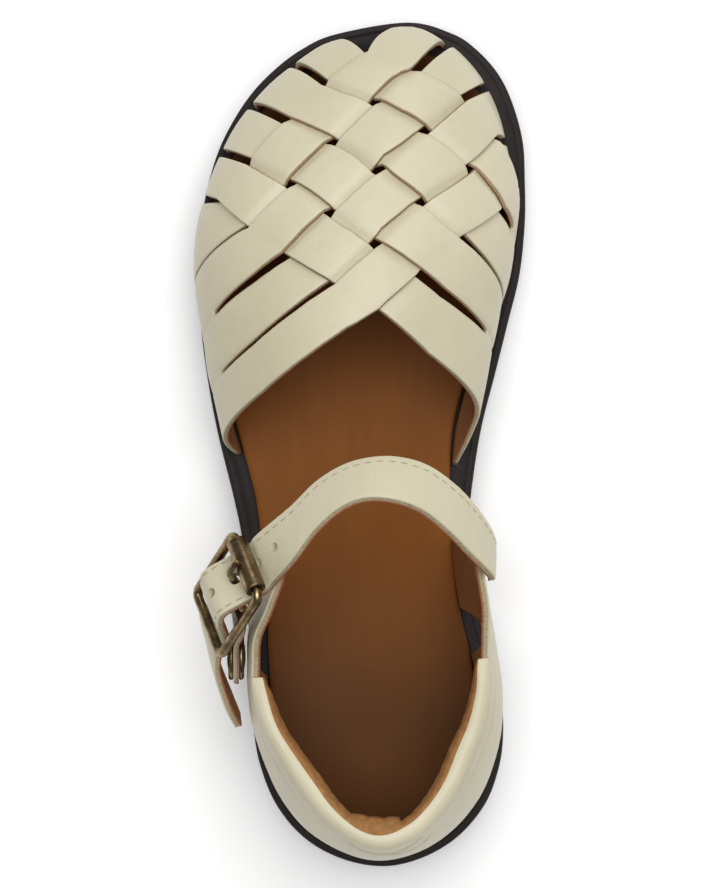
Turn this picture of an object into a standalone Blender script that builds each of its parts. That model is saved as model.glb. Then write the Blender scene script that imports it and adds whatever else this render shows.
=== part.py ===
# Woven sandal for the left foot. Tables and sizes are in millimetres.
# X points to the medial side, Y to the toe, Z up; the sole stands on Z = 0.
import math

import bmesh
import bpy
import numpy as np

MM = 0.001
GAP = 0.3
FLAT = 1e-9
WELD = 0.00001

# Outline and heights of the sole, a row for each section from toe tip to heel tip
SOLE_COLUMNS = ("y", "lateral", "medial", "lateral_rim", "medial_rim", "top", "bottom")
SOLE_ROWS = (
    (95.0, 11.0, 11.0, 3.1, 3.1, 14.0, 5.0),
    (92.5, -5.0, 21.0, 3.7, 4.3, 13.6, 4.5),
    (89.0, -13.1, 26.4, 4.2, 4.9, 13.1, 3.9),
    (83.6, -20.2, 31.3, 4.3, 5.2, 12.3, 3.0),
    (77.2, -25.9, 34.5, 4.0, 5.3, 11.5, 2.1),
    (68.5, -31.0, 36.9, 3.6, 5.2, 10.6, 1.0),
    (59.9, -34.0, 37.4, 3.0, 5.0, 10.0, 0.2),
    (50.0, -36.0, 37.4, 2.2, 4.8, 9.7, 0.0),
    (38.4, -37.1, 36.2, 2.2, 5.0, 9.6, 0.0),
    (27.6, -36.1, 33.6, 2.4, 5.2, 9.8, 0.0),
    (16.0, -34.6, 30.7, 2.8, 5.6, 10.4, 0.2),
    (2.8, -32.1, 27.4, 4.2, 5.8, 11.4, 1.2),
    (-11.9, -28.4, 25.2, 4.6, 4.8, 12.7, 2.0),
    (-22.0, -26.3, 24.6, 4.0, 4.0, 13.6, 2.0),
    (-33.8, -25.2, 25.9, 4.0, 4.0, 14.6, 1.2),
    (-46.8, -24.6, 29.5, 4.0, 4.2, 15.4, 0.0),
    (-58.0, -24.1, 32.1, 4.0, 4.4, 15.9, 0.0),
    (-65.5, -23.5, 32.5, 4.0, 4.4, 16.1, 0.0),
    (-72.2, -22.2, 31.7, 4.0, 4.4, 16.2, 0.0),
    (-80.0, -19.2, 29.0, 4.1, 4.4, 16.2, 0.0),
    (-86.4, -14.6, 24.3, 4.2, 4.4, 16.2, 0.0),
    (-90.9, -9.0, 18.7, 4.3, 4.4, 16.2, 0.3),
    (-93.9, -2.0, 12.0, 4.4, 4.4, 16.2, 0.7),
    (-95.0, 5.3, 5.3, 4.4, 4.4, 16.2, 1.0),
)
LAST_ROW = len(SOLE_ROWS) - 1
STEPS_PER_ROW = 2
TIP_ROWS = 3
TIP_STEPS = 4
OUTLINE_SAMPLES = 441
OUTLINE_STEP = 0.01

# Side of the sole from tread to rim: inset, share of the height, offset
SOLE_SIDE = (
    (1.7, 0.0, 0.0),
    (0.5, 0.0, 1.0),
    (0.5, 0.55, 0.0),
    (1.0, 0.55, 0.4),
    (0.0, 0.55, 0.9),
    (0.0, 1.0, -1.0),
    (0.3, 1.0, -0.3),
    (1.0, 1.0, 0.0),
)

# Footbed, with its side as inset and height
INSOLE_CLEAR = 0.7
INSOLE_SIDE = ((0.0, 0.0), (0.0, 1.7), (0.8, 2.4))

# Forepart of the last: rise of the crown over the foot line
# Columns: y, rise
CROWN_ROWS = (
    (-30.0, 46.0), (0.0, 42.0), (30.0, 37.0), (45.0, 33.0), (60.0, 28.0), (75.0, 23.5), (95.0, 20.0),
)
# Reach of the arch. Columns: foot, reach
REACH_ROWS = ((-60.0, 38.0), (0.0, 35.0), (60.0, 31.0))
ROUNDNESS = 2.3
# Outward swell of the wall. Columns: foot, swell
SWELL_ROWS = (
    (-124.0, 3.4), (-109.0, 1.9), (-96.0, 1.1), (-85.0, 1.4), (-67.0, 2.2), (-45.0, 2.4),
    (-18.0, 2.4), (0.0, 1.9), (12.0, 1.2), (22.0, 0.4), (34.0, 0.6), (40.0, 1.6),
    (48.0, 2.9), (58.0, 3.2), (71.0, 2.8), (95.0, 5.0), (112.0, 5.0),
)
# Length of wall that swells
SWELL_CLIMB = 34.0
ARC_STEPS = 60

# Woven vamp: flat pattern of the crossings, a row for each A strip, B1 to B4 across
PATTERN = (
    ((3.6, 79.8), (-5.1, 72.1), (-13.5, 63.8), (-22.8, 54.8)),
    ((13.9, 75.7), (5.5, 67.5), (-4.2, 59.1), (-14.7, 48.7)),
    ((25.0, 69.4), (15.0, 60.6), (4.6, 51.7), (-5.4, 42.1)),
    ((32.6, 59.2), (23.7, 52.5), (14.3, 44.5), (4.9, 35.6)),
)
STRIPS = 4
STRIP_EDGE = 0.43
STRIP_FACE = 0.39
STRIP_MEET = 0.49
STRIP_LINES = (-STRIP_EDGE, -STRIP_FACE, 0.0, STRIP_FACE, STRIP_EDGE)
LEATHER = 1.5
PILLOW = 0.45
DROOP = 0.4
CREASE = 0.35
# Where the edges between strip ends meet the foot line, measured round it from the toe tip
A_TOE_FEET = (-10.6, 9.7, 21.2, 34.0, 45.0)
A_SIDE_FEET = (-63.5, -83.0, -97.0, -108.0, -120.0)
B_TOE_FEET = (-8.9, -27.3, -39.7, -51.2, -61.5)
B_SIDE_FEET = (46.0, 62.0, 75.0, 84.5, 108.5)
TOE_STEPS = (1.0, 0.7, 0.35)
SIDE_STEPS = (0.12, 0.27, 0.42, 0.57, 0.72, 0.86, 1.0)
A_SLITS = (0.0, 0.5, 0.62)
B_SLITS = (0.3, 0.0, 0.55)
SETTLE = 0.35

# Heel counter and wings, from the lateral to the medial wing
# Columns: side, foot_y on the sole, top_x, top_y and top_z of the inner top edge, outward bulge
QUARTER_ROWS = (
    (-1, -21.5, -17.0, -20.5, 53.0, 0.8),
    (-1, -28.0, -13.8, -26.0, 57.0, 1.2),
    (-1, -36.0, -17.0, -36.0, 54.0, 1.8),
    (-1, -42.5, -19.8, -42.4, 50.5, 1.8),
    (-1, -48.5, -20.3, -48.0, 48.2, 1.8),
    (-1, -55.0, -20.2, -54.2, 47.2, 1.9),
    (-1, -63.0, -18.2, -61.6, 47.3, 2.1),
    (-1, -71.0, -14.2, -68.6, 48.2, 2.1),
    (-1, -78.5, -10.0, -74.8, 49.5, 2.1),
    (-1, -85.0, -5.4, -80.4, 51.0, 2.0),
    (-1, -89.3, 0.9, -85.0, 52.4, 1.8),
    (0, -90.6, 6.9, -86.4, 53.0, 1.7),
    (1, -88.6, 13.0, -84.2, 52.4, 1.8),
    (1, -84.0, 17.6, -79.8, 51.2, 2.1),
    (1, -77.5, 21.7, -73.8, 49.6, 2.5),
    (1, -70.5, 24.8, -66.8, 48.4, 2.8),
    (1, -63.0, 27.0, -61.0, 47.4, 3.0),
    (1, -55.0, 28.3, -53.5, 47.0, 3.0),
    (1, -48.0, 27.9, -46.8, 47.6, 3.0),
    (1, -42.0, 28.0, -40.8, 49.2, 2.6),
    (1, -36.0, 28.0, -35.4, 50.8, 1.8),
    (1, -28.5, 26.9, -28.5, 51.6, 0.8),
    (1, -21.5, 25.2, -21.5, 48.6, 0.6),
)
QUARTER_THICK = 1.8
QUARTER_STEPS = 2
QUARTER_LEVELS = (0.0, 0.2, 0.4, 0.6, 0.8, 1.0)
HEEL_SAMPLES = 160
HEEL_STEP = 0.05
# Three-cornered cut-outs behind the legs: y and z
LATERAL_CUTOUT = ((-41.0, 12.0), (-52.6, 12.0), (-50.6, 24.0), (-48.0, 31.5), (-46.2, 31.5), (-43.6, 24.0))
MEDIAL_CUTOUT = ((-36.0, 12.0), (-48.0, 12.0), (-46.0, 24.0), (-43.4, 31.5), (-41.6, 31.5), (-38.6, 24.0))
CUTOUT_SPAN = ((-45.0, -8.0), (10.0, 45.0))

# Padded collar on the inner top edge of the counter
COLLAR_START = 4.5
COLLAR_END = 18.0
COLLAR_RINGS = 30
COLLAR_TAPER = 1.6
COLLAR_END_SIZE = 0.4
COLLAR_SEAM = 0.35
COLLAR_SEAT = 0.5
# Section of the collar: inward, upward
COLLAR_SECTION = (
    (0.35, -14.0), (0.35, -6.0), (0.35, 0.4), (-1.7, 0.4), (-1.6, 1.5), (-0.8, 2.5), (0.7, 2.9),
    (2.1, 2.3), (2.8, 0.6), (3.5, -3.0), (3.9, -7.0), (3.0, -11.5), (1.2, -14.0),
)

# Buckle: centre, direction across the strap and direction along it
BUCKLE_CENTRE = (-27.5, -33.0, 48.1)
BUCKLE_ACROSS = (0.35, -0.80, 0.49)
BUCKLE_ALONG = (-0.40, -0.64, -0.66)
FRAME_HALF_WIDTH = 8.5
FRAME_HALF_LENGTH = 11.0
FRAME_CORNER = 1.8
CORNER_STEPS = 4
WIRE_RADIUS = 1.1
WIRE_SIDES = 10
BAR_RADIUS = 0.8
BAR_DROP = -1.1
BAR_SHOULDER = 1.9
ROLLER_RADIUS = 2.3
ROLLER_BORE = 1.45
ROLLER_LENGTH = 13.0
ROLLER_SIDES = 16
PRONG_RADIUS = 0.65
PRONG_RING = 1.7
PRONG_RING_TURN = (400.0, 340.0, 280.0, 230.0, 180.0)
PRONG_PATH = ((-3.9, -1.0), (-6.0, 0.8), (-7.6, 2.5), (-9.2, 3.2), (-11.0, 3.3), (-13.2, 3.1))

# Ankle strap from the medial end to the buckle, by the two edges of its outer face
# Columns: front_x, front_y, front_z, rear_x, rear_y, rear_z
STRAP_ROWS = (
    (31.3, -21.6, 37.6, 31.2, -29.8, 47.4),
    (31.1, -20.0, 43.0, 31.0, -28.6, 52.4),
    (29.6, -16.8, 47.6, 28.8, -26.0, 56.6),
    (26.6, -12.6, 51.8, 25.4, -22.6, 60.0),
    (22.9, -8.7, 55.2, 21.8, -18.8, 63.2),
    (17.6, -4.7, 58.4, 16.2, -14.2, 67.2),
    (12.3, -2.7, 60.2, 10.1, -11.8, 69.4),
    (6.3, -2.1, 61.0, 3.2, -11.4, 70.2),
    (-0.9, -3.7, 60.6, -2.6, -13.6, 69.0),
    (-7.7, -7.6, 59.2, -8.2, -18.6, 66.4),
    (-13.8, -13.6, 57.2, -12.8, -24.6, 63.6),
)
# Strap through the buckle: along it, above its plane
STRAP_THROUGH = (
    (-13.9, -4.0), (-11.0, -3.7), (-8.2, -2.4), (-5.9, 0.2), (-1.2, 3.7), (3.4, 2.6), (7.6, -0.4),
    (11.0, -2.6), (14.6, -1.9),
)
THROUGH_SHARE = 0.94
# Tail behind the buckle
# Columns: x, y, z, across_x, across_y, across_z, share of the width
TAIL_ROWS = (
    (-32.6, -46.4, 34.3, 0.22, -0.62, 0.75, 0.94),
    (-31.2, -52.0, 31.2, 0.15, -0.45, 0.88, 0.94),
    (-29.3, -57.4, 28.9, 0.10, -0.35, 0.93, 0.9),
    (-27.3, -62.0, 27.3, 0.10, -0.35, 0.93, 0.55),
)
STRAP_WIDTH = 13.0
STRAP_THICK = 1.8
STRAP_EDGE = 0.4
STRAP_STEPS = 3
BAND_STEP = 0.05
# Hole of the prong: along the buckle, above its plane
PRONG_HOLE = ((-4.0, -1.6), (-7.9, 2.4))
PRONG_HOLE_RADIUS = 1.4

# Leather loop on the centre bar and the press stud under it
CHAPE_WIDTH = 11.0
CHAPE_THICK = 1.1
CHAPE_TURN = (180.0, 208.0, 240.0, 275.0)
CHAPE_LOOP = 1.6
CHAPE_RUN = ((3.2, -3.6), (7.0, -5.0))
CHAPE_EDGE = 0.25
CHAPE_SEAT = ((-1.05, 1.0), (0.0, 1.0), (0.75, 0.85), (1.1, 0.45))
SLOT_HALF = 1.1
SLOT_START = -4.5
SLOT_END = 3.0
SLOT_SPAN = (-6.5, 3.0)
STUD_CENTRE = (-24.3, -46.9, 34.8)
STUD_AXIS = (-1.0, 0.0, 0.06)
STUD_RADIUS = 5.3
STUD_SIDES = 20
# Start and end of each layer along the axis of the stud
SOCKET_SPAN = (0.0, 1.2)
CHAPE_SPAN = (1.5, 2.6)
CAP_SPAN = (2.9, 4.1)


def spline(rows, position):
    """Smooth value of a table of rows at a place between two rows."""
    first = min(int(math.floor(position)), len(rows) - 2)
    part = position - first
    before = rows[max(first - 1, 0)]
    after = rows[min(first + 2, len(rows) - 1)]
    start = rows[first]
    end = rows[first + 1]
    slope_in = (end - before) * 0.5
    slope_out = (after - start) * 0.5
    square = part * part
    cube = square * part
    return (start * (2 * cube - 3 * square + 1) + slope_in * (cube - 2 * square + part)
            + end * (3 * square - 2 * cube) + slope_out * (cube - square))


def mirrored(row):
    """The row one step round the tip: the two sides change places."""
    return np.array((row[0], row[2], row[1], row[4], row[3], row[5], row[6]))


SOLE_TABLE = np.array(SOLE_ROWS)
SOLE_SPLINE = np.vstack((mirrored(SOLE_TABLE[1]), SOLE_TABLE, mirrored(SOLE_TABLE[-2])))


def section(position):
    """All columns of the sole table at a place along the shoe."""
    values = spline(SOLE_SPLINE, min(max(position, 0.0), LAST_ROW - FLAT) + 1.0)
    return dict(zip(SOLE_COLUMNS, values))


def edge_point(side, position, inset):
    """Point of the outline moved inwards, side -1 lateral and +1 medial."""
    step = OUTLINE_STEP
    column = "lateral" if side < 0 else "medial"
    here = section(position)
    ahead = section(position + step)
    behind = section(position - step)
    run = np.array((ahead[column] - behind[column], ahead["y"] - behind["y"]))
    if position < step:
        run = np.array((float(side), 0.0))
    if position > LAST_ROW - step:
        run = np.array((-float(side), 0.0))
    run = run / np.linalg.norm(run)
    inward = np.array((run[1], -run[0])) * side
    return np.array((here[column], here["y"])) + inward * inset


def rim(side, position):
    """Width of the rim between the sole's edge and the inside of the upper."""
    return section(position)["lateral_rim" if side < 0 else "medial_rim"]


SIDE_SAMPLES = np.linspace(0.0, LAST_ROW, OUTLINE_SAMPLES)
HEIGHT_Y = np.array([section(k)["y"] for k in SIDE_SAMPLES])[::-1]
HEIGHT_TOP = np.array([section(k)["top"] for k in SIDE_SAMPLES])[::-1]
HEIGHT_BOTTOM = np.maximum(np.array([section(k)["bottom"] for k in SIDE_SAMPLES]), 0.0)[::-1]


def sole_top(y):
    return np.interp(y, HEIGHT_Y, HEIGHT_TOP)


def sole_bottom(y):
    return np.interp(y, HEIGHT_Y, HEIGHT_BOTTOM)


def make(name, points, faces, colour, roughness, metal=0.0):
    """One closed named solid with its own material."""
    mesh = bpy.data.meshes.new(name)
    body = bmesh.new()
    corners = [body.verts.new([c * MM for c in p]) for p in points]
    for face in faces:
        body.faces.new([corners[i] for i in face])
    bmesh.ops.remove_doubles(body, verts=body.verts, dist=WELD)
    bmesh.ops.dissolve_degenerate(body, edges=body.edges, dist=WELD)
    bmesh.ops.recalc_face_normals(body, faces=body.faces)
    body.to_mesh(mesh)
    body.free()
    for face in mesh.polygons:
        face.use_smooth = True
    part = bpy.data.objects.new(name, mesh)
    bpy.context.scene.collection.objects.link(part)
    material = bpy.data.materials.new(name)
    material.use_nodes = True
    shader = material.node_tree.nodes["Principled BSDF"]
    shader.inputs["Base Color"].default_value = (*colour, 1.0)
    shader.inputs["Roughness"].default_value = roughness
    shader.inputs["Metallic"].default_value = metal
    mesh.materials.append(material)
    return part


def make_used(name, points, faces, colour, roughness):
    """One solid from the points that its faces use."""
    used = sorted({c for ring in faces for c in ring})
    order = {c: n for n, c in enumerate(used)}
    corners = [points[c] for c in used]
    return make(name, corners, [[order[c] for c in ring] for ring in faces], colour, roughness)


def loft(rings, closed_path=False):
    """Points and faces of a skin through closed rings, with flat ends."""
    count = len(rings[0])
    points = [tuple(p) for ring in rings for p in ring]
    faces = []
    spans = len(rings) if closed_path else len(rings) - 1
    for i in range(spans):
        j = (i + 1) % len(rings)
        for k in range(count):
            m = (k + 1) % count
            faces.append((i * count + k, i * count + m, j * count + m, j * count + k))
    if not closed_path:
        faces.append(tuple(reversed(range(count))))
        faces.append(tuple(range((len(rings) - 1) * count, len(rings) * count)))
    return points, faces


def stations():
    """Places along the shoe where the sole and the footbed get a section."""
    tips = np.arange(TIP_ROWS * TIP_STEPS) / TIP_STEPS
    middle = np.arange(TIP_ROWS * STEPS_PER_ROW, (LAST_ROW - TIP_ROWS) * STEPS_PER_ROW + 1) / STEPS_PER_ROW
    return [*tips, *middle, *(LAST_ROW - tips[::-1])]


def ladder(name, levels, colour, roughness):
    """Solid between mirrored side levels; each level gives a lateral or medial point at a station."""
    places = stations()
    points = []
    index = {}
    for i, place in enumerate(places):
        for side in (-1, 1):
            for j, level in enumerate(levels):
                index[i, side, j] = len(points)
                points.append(level(side, place))
    faces = []
    last = len(levels) - 1
    for i in range(len(places) - 1):
        for side in (-1, 1):
            for j in range(last):
                faces.append((index[i, side, j], index[i + 1, side, j],
                              index[i + 1, side, j + 1], index[i, side, j + 1]))
        for j in (0, last):
            faces.append((index[i, -1, j], index[i + 1, -1, j], index[i + 1, 1, j], index[i, 1, j]))
    weld = {}
    for i in (0, len(places) - 1):
        for j in range(len(levels)):
            weld[index[i, 1, j]] = index[i, -1, j]
    clean = []
    for face in faces:
        ring = []
        for corner in face:
            corner = weld.get(corner, corner)
            if corner not in ring:
                ring.append(corner)
        if len(ring) > 2:
            clean.append(ring)
    return make_used(name, points, clean, colour, roughness)


def sole_level(inset, share, offset):
    def level(side, place):
        x, y = edge_point(side, place, inset)
        low = sole_bottom(y)
        high = sole_top(y)
        return (x, y, low + (high - low) * share + offset)
    return level


def insole_level(inset, height):
    def level(side, place):
        x, y = edge_point(side, place, rim(side, place) + INSOLE_CLEAR + inset)
        return (x, y, sole_top(y) + GAP + height)
    return level


# Foot line of the forepart: inside of the upper where it meets the sole
FORE_END = 14.5
FORE_SAMPLES = 360


def foot_line():
    places = np.linspace(0.0, FORE_END, FORE_SAMPLES)
    lateral = [edge_point(-1, k, rim(-1, k)) for k in places]
    medial = [edge_point(1, k, rim(1, k)) for k in places]
    return np.array(lateral[:0:-1] + medial)


FOOT = foot_line()
FOOT_STEP = np.linalg.norm(np.diff(FOOT, axis=0), axis=1)
FOOT_ARC = np.concatenate(((0.0,), np.cumsum(FOOT_STEP)))
FOOT_ARC = FOOT_ARC - FOOT_ARC[FORE_SAMPLES - 1]
FOOT_RUN = np.gradient(FOOT, axis=0)
FOOT_RUN = FOOT_RUN / np.linalg.norm(FOOT_RUN, axis=1)[:, None]
FOOT_IN = np.stack((FOOT_RUN[:, 1], -FOOT_RUN[:, 0]), axis=1)
CROWN = np.array(CROWN_ROWS)
REACH = np.array(REACH_ROWS)
SWELL = np.array(SWELL_ROWS)
PROFILE_TURN = np.linspace(0.0, math.pi / 2, ARC_STEPS)
PROFILE_OUT = 1.0 - np.cos(PROFILE_TURN) ** (2.0 / ROUNDNESS)
PROFILE_UP = np.sin(PROFILE_TURN) ** (2.0 / ROUNDNESS)


def wall_profile(foot):
    """Reach, rise and arc lengths of the section that stands on a place of the foot line."""
    reach = np.interp(foot, REACH[:, 0], REACH[:, 1])
    y = np.interp(foot, FOOT_ARC, FOOT[:, 1])
    rise = np.interp(y, CROWN[:, 0], CROWN[:, 1])
    out = PROFILE_OUT * reach
    up = PROFILE_UP * rise
    arc = np.concatenate(((0.0,), np.cumsum(np.hypot(np.diff(out), np.diff(up)))))
    return reach, out, arc


def from_pattern(flat):
    """Point of the last for a point of the flat pattern."""
    delta = flat - FOOT
    distance = np.hypot(delta[:, 0], delta[:, 1])
    best = int(np.argmin(distance / np.interp(FOOT_ARC, REACH[:, 0], REACH[:, 1])))
    along = float(np.dot(flat - FOOT[best], FOOT_RUN[best]))
    foot = FOOT_ARC[best] + along
    depth = float(np.dot(flat - FOOT[best], FOOT_IN[best]))
    return on_last(foot, depth)


def on_last(foot, depth):
    """Point of the last above a place of the foot line; depth is measured on the flat pattern."""
    reach, out, arc = wall_profile(foot)
    climbed = min(max(depth + arc[-1] - reach, 0.0), arc[-1])
    inset = np.interp(climbed, arc, out)
    if depth > reach:
        inset = depth
    base = np.array((np.interp(foot, FOOT_ARC, FOOT[:, 0]), np.interp(foot, FOOT_ARC, FOOT[:, 1])))
    inward = np.array((np.interp(foot, FOOT_ARC, FOOT_IN[:, 0]), np.interp(foot, FOOT_ARC, FOOT_IN[:, 1])))
    swell = np.interp(foot, SWELL[:, 0], SWELL[:, 1]) * math.sin(math.pi * min(climbed / SWELL_CLIMB, 1.0))
    x, y = base + inward * (inset - swell)
    share = min(inset / reach, 1.0)
    rise = np.interp(y, CROWN[:, 0], CROWN[:, 1])
    lift = rise * (1.0 - (1.0 - share) ** ROUNDNESS) ** (1.0 / ROUNDNESS)
    return np.array((x, y, sole_top(y) + GAP + lift))


def pattern_end(foot):
    """Place on the flat pattern of a point of the foot line."""
    reach, out, arc = wall_profile(foot)
    base = np.array((np.interp(foot, FOOT_ARC, FOOT[:, 0]), np.interp(foot, FOOT_ARC, FOOT[:, 1])))
    inward = np.array((np.interp(foot, FOOT_ARC, FOOT_IN[:, 0]), np.interp(foot, FOOT_ARC, FOOT_IN[:, 1])))
    return base - inward * (arc[-1] - reach)


def extended(grid):
    """Pattern with one more row and column on every side."""
    grid = np.concatenate((2 * grid[:1] - grid[1:2], grid, 2 * grid[-1:] - grid[-2:-1]), axis=0)
    return np.concatenate((2 * grid[:, :1] - grid[:, 1:2], grid, 2 * grid[:, -1:] - grid[:, -2:-1]), axis=1)


PATTERN_GRID = extended(extended(np.array(PATTERN)))


def pattern_at(a, b):
    """Flat pattern place for strip numbers that may lie between strips."""
    rows = np.array([spline(PATTERN_GRID[i], b + 1.0) for i in range(len(PATTERN_GRID))])
    return spline(rows, a + 1.0)


def a_over(a, b):
    return (a + b) % 2 == 0


def nearest_strip(value):
    return int(min(max(round(value), 1), STRIPS))


def weave_height(a, b):
    """Thickness of the woven wall over the last."""
    strip_a = nearest_strip(a)
    strip_b = nearest_strip(b)
    across = abs(a - strip_a)
    along = abs(b - strip_b)
    if not a_over(strip_a, strip_b):
        across, along = along, across
    if across > (STRIP_EDGE + STRIP_FACE) / 2:
        return LEATHER
    pillow = PILLOW * (1.0 - (across / STRIP_EDGE) ** 2)
    return 2 * LEATHER + pillow - DROOP * (along / STRIP_EDGE) ** 2


def strip_lines():
    return [strip + line for strip in range(1, STRIPS + 1) for line in STRIP_LINES]


def widened(value, step, slits):
    """A strip line pushed towards its neighbour until the slit beside it closes."""
    strip = nearest_strip(value)
    fraction = value - strip
    gap = strip - 1 if fraction > 0 else strip - 2
    closed = step
    if 0 <= gap < len(slits):
        closed = min(step / max(slits[gap], SIDE_STEPS[0]), 1.0)
    return strip + fraction * (1.0 + (STRIP_MEET / STRIP_EDGE - 1.0) * closed)


def end_height(start, value, step):
    """Thickness of a strip end that settles from its crossing to the plain leather."""
    fade = max(0.0, 1.0 - step / SETTLE) ** 2
    strip = nearest_strip(value)
    crease = 0.0
    if abs(value - strip) > (STRIP_EDGE + STRIP_FACE) / 2:
        crease = CREASE * (1.0 - step)
    return LEATHER + (start - LEATHER) * fade - crease


def vamp_grid():
    """Pattern place, thickness and step of every grid point of the woven wall."""
    core = strip_lines()
    edges = np.arange(STRIPS + 1) + 0.5
    first = core[0]
    last = core[-1]
    places = {}
    size_toe = len(TOE_STEPS)
    for i, a in enumerate(core):
        for j, b in enumerate(core):
            places[size_toe + i, size_toe + j] = (pattern_at(a, b), weave_height(a, b), 0.0)
    ends = (
        (A_TOE_FEET, TOE_STEPS, (), False, first),
        (B_TOE_FEET, TOE_STEPS, (), True, first),
        (A_SIDE_FEET, SIDE_STEPS, A_SLITS, False, last),
        (B_SIDE_FEET, SIDE_STEPS, B_SLITS, True, last),
    )
    for i, line in enumerate(core):
        for feet, steps, slits, swap, border in ends:
            base = 0 if steps is TOE_STEPS else size_toe + len(core)
            crossing = (border, line) if swap else (line, border)
            for j, step in enumerate(steps):
                value = widened(line, step, slits) if slits else line
                foot = np.interp(value, edges, feet)
                flat = pattern_at(*crossing) * (1.0 - step) + pattern_end(foot) * step
                key = (base + j, size_toe + i) if swap else (size_toe + i, base + j)
                places[key] = (flat, end_height(weave_height(*crossing), line, step), step)
    return places


def in_strip(index):
    """True for the grid interval that lies on a strip rather than in a gap."""
    return index % len(STRIP_LINES) != len(STRIP_LINES) - 1


def cell_solid(i, j):
    """True where the woven wall has leather."""
    size_toe = len(TOE_STEPS)
    count = STRIPS * len(STRIP_LINES)
    core_i = i - size_toe
    core_j = j - size_toe
    in_core_i = 0 <= core_i < count - 1
    in_core_j = 0 <= core_j < count - 1
    if in_core_i and in_core_j:
        return in_strip(core_i) or in_strip(core_j)
    if in_core_i:
        return end_solid(core_i, core_j, count, A_SLITS)
    if in_core_j:
        return end_solid(core_j, core_i, count, B_SLITS)
    return False


def end_solid(across, along, count, slits):
    """True where the end of the strips is closed, beside a slit or beyond it."""
    if in_strip(across):
        return True
    if along < 0:
        return along == -len(TOE_STEPS)
    step = along - (count - 1)
    low = SIDE_STEPS[step - 1] if step > 0 else 0.0
    return (low + SIDE_STEPS[step]) / 2 > slits[across // len(STRIP_LINES)]


def build_vamp():
    places = vamp_grid()
    last = {key: from_pattern(flat) for key, (flat, height, step) in places.items()}
    points = []
    inner = {}
    outer = {}
    for key, (flat, height, step) in places.items():
        normal = grid_normal(last, key)
        if step == 1.0:
            normal[2] = 0.0
        normal = normal / np.linalg.norm(normal)
        inner[key] = len(points)
        points.append(last[key])
        outer[key] = len(points)
        points.append(last[key] + normal * height)
    span = len(TOE_STEPS) + STRIPS * len(STRIP_LINES) + len(SIDE_STEPS)
    cells = [(i, j) for i in range(span - 1) for j in range(span - 1) if cell_solid(i, j)]
    faces = []
    edges = {}
    for i, j in cells:
        ring = ((i, j), (i + 1, j), (i + 1, j + 1), (i, j + 1))
        faces.append([outer[k] for k in ring])
        faces.append([inner[k] for k in reversed(ring)])
        for pair in zip(ring, ring[1:] + ring[:1]):
            edges.setdefault(frozenset(pair), []).append(pair)
    for pair in edges.values():
        if len(pair) == 1:
            start, end = pair[0]
            faces.append((outer[end], outer[start], inner[start], inner[end]))
    return make_used("vamp", points, faces, CREAM, 0.45)


def grid_normal(last, key):
    """Outward direction of the last at a grid point."""
    i, j = key
    here = last[key]
    across = last.get((i + 1, j), here) - last.get((i - 1, j), here)
    along = last.get((i, j + 1), here) - last.get((i, j - 1), here)
    return np.cross(along, across)


def shell(name, inner, outer, colour, roughness):
    """Closed wall between two grids of points."""
    rows = len(inner)
    count = len(inner[0])
    points = [tuple(p) for grid in (inner, outer) for row in grid for p in row]
    skin = rows * count
    faces = []
    for i in range(rows - 1):
        for j in range(count - 1):
            ring = (i * count + j, (i + 1) * count + j, (i + 1) * count + j + 1, i * count + j + 1)
            faces.append(ring)
            faces.append([skin + c for c in reversed(ring)])
    loop = list(range(count))
    loop += [i * count + count - 1 for i in range(1, rows)]
    loop += [(rows - 1) * count + j for j in range(count - 2, -1, -1)]
    loop += [i * count for i in range(rows - 2, 0, -1)]
    for k, c in enumerate(loop):
        d = loop[(k + 1) % len(loop)]
        faces.append((c, d, skin + d, skin + c))
    return make(name, points, faces, colour, roughness)


def heel_foot(side, y):
    """Inside of the upper on the sole for a place along the heel."""
    if side == 0:
        return edge_point(1, LAST_ROW, rim(1, LAST_ROW))
    places = np.linspace(LAST_ROW, LAST_ROW / 2, HEEL_SAMPLES)
    line = np.array([edge_point(side, k, rim(side, k)) for k in places])
    return np.array((np.interp(y, line[:, 1], line[:, 0]), y))


QUARTER_TABLE = np.array([(*heel_foot(row[0], row[1]), *row[2:]) for row in QUARTER_ROWS])


def quarter_inner(place, level):
    """Point of the inside of the heel counter or a wing."""
    foot_x, foot_y, top_x, top_y, top_z, bulge = spline(QUARTER_TABLE, place)
    low = sole_top(foot_y) + GAP
    outward = quarter_outward(place)
    swell = bulge * math.sin(math.pi * min(max(level, 0.0), 1.0))
    x = foot_x + (top_x - foot_x) * level + outward[0] * swell
    y = foot_y + (top_y - foot_y) * level + outward[1] * swell
    return np.array((x, y, low + (top_z - low) * level))


def quarter_outward(place):
    """Level direction away from the foot."""
    last = len(QUARTER_TABLE) - 1 - FLAT
    ahead = spline(QUARTER_TABLE, min(place + HEEL_STEP, last))
    behind = spline(QUARTER_TABLE, max(place - HEEL_STEP, 0.0))
    run = ahead - behind
    direction = np.array((run[0] + run[2], run[1] + run[3], 0.0))
    direction = direction / np.linalg.norm(direction)
    return np.array((direction[1], -direction[0], 0.0))


def build_quarter():
    places = np.linspace(0.0, len(QUARTER_ROWS) - 1 - FLAT, (len(QUARTER_ROWS) - 1) * QUARTER_STEPS + 1)
    inner = [[quarter_inner(k, level) for level in QUARTER_LEVELS] for k in places]
    outer = [[p + quarter_outward(k) * QUARTER_THICK for p in row] for k, row in zip(places, inner)]
    wall = shell("quarter", inner, outer, CREAM, 0.45)
    for shape, span in zip((LATERAL_CUTOUT, MEDIAL_CUTOUT), CUTOUT_SPAN):
        rings = [[(x, y, z) for y, z in shape] for x in span]
        cut(wall, cutter("cutout", *loft(rings)))
    return wall


def cutter(name, points, faces):
    """Helper solid that is taken away from a piece."""
    tool = make(name, points, faces, CREAM, 0.5)
    tool.hide_render = True
    tool.display_type = "WIRE"
    return tool


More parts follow.
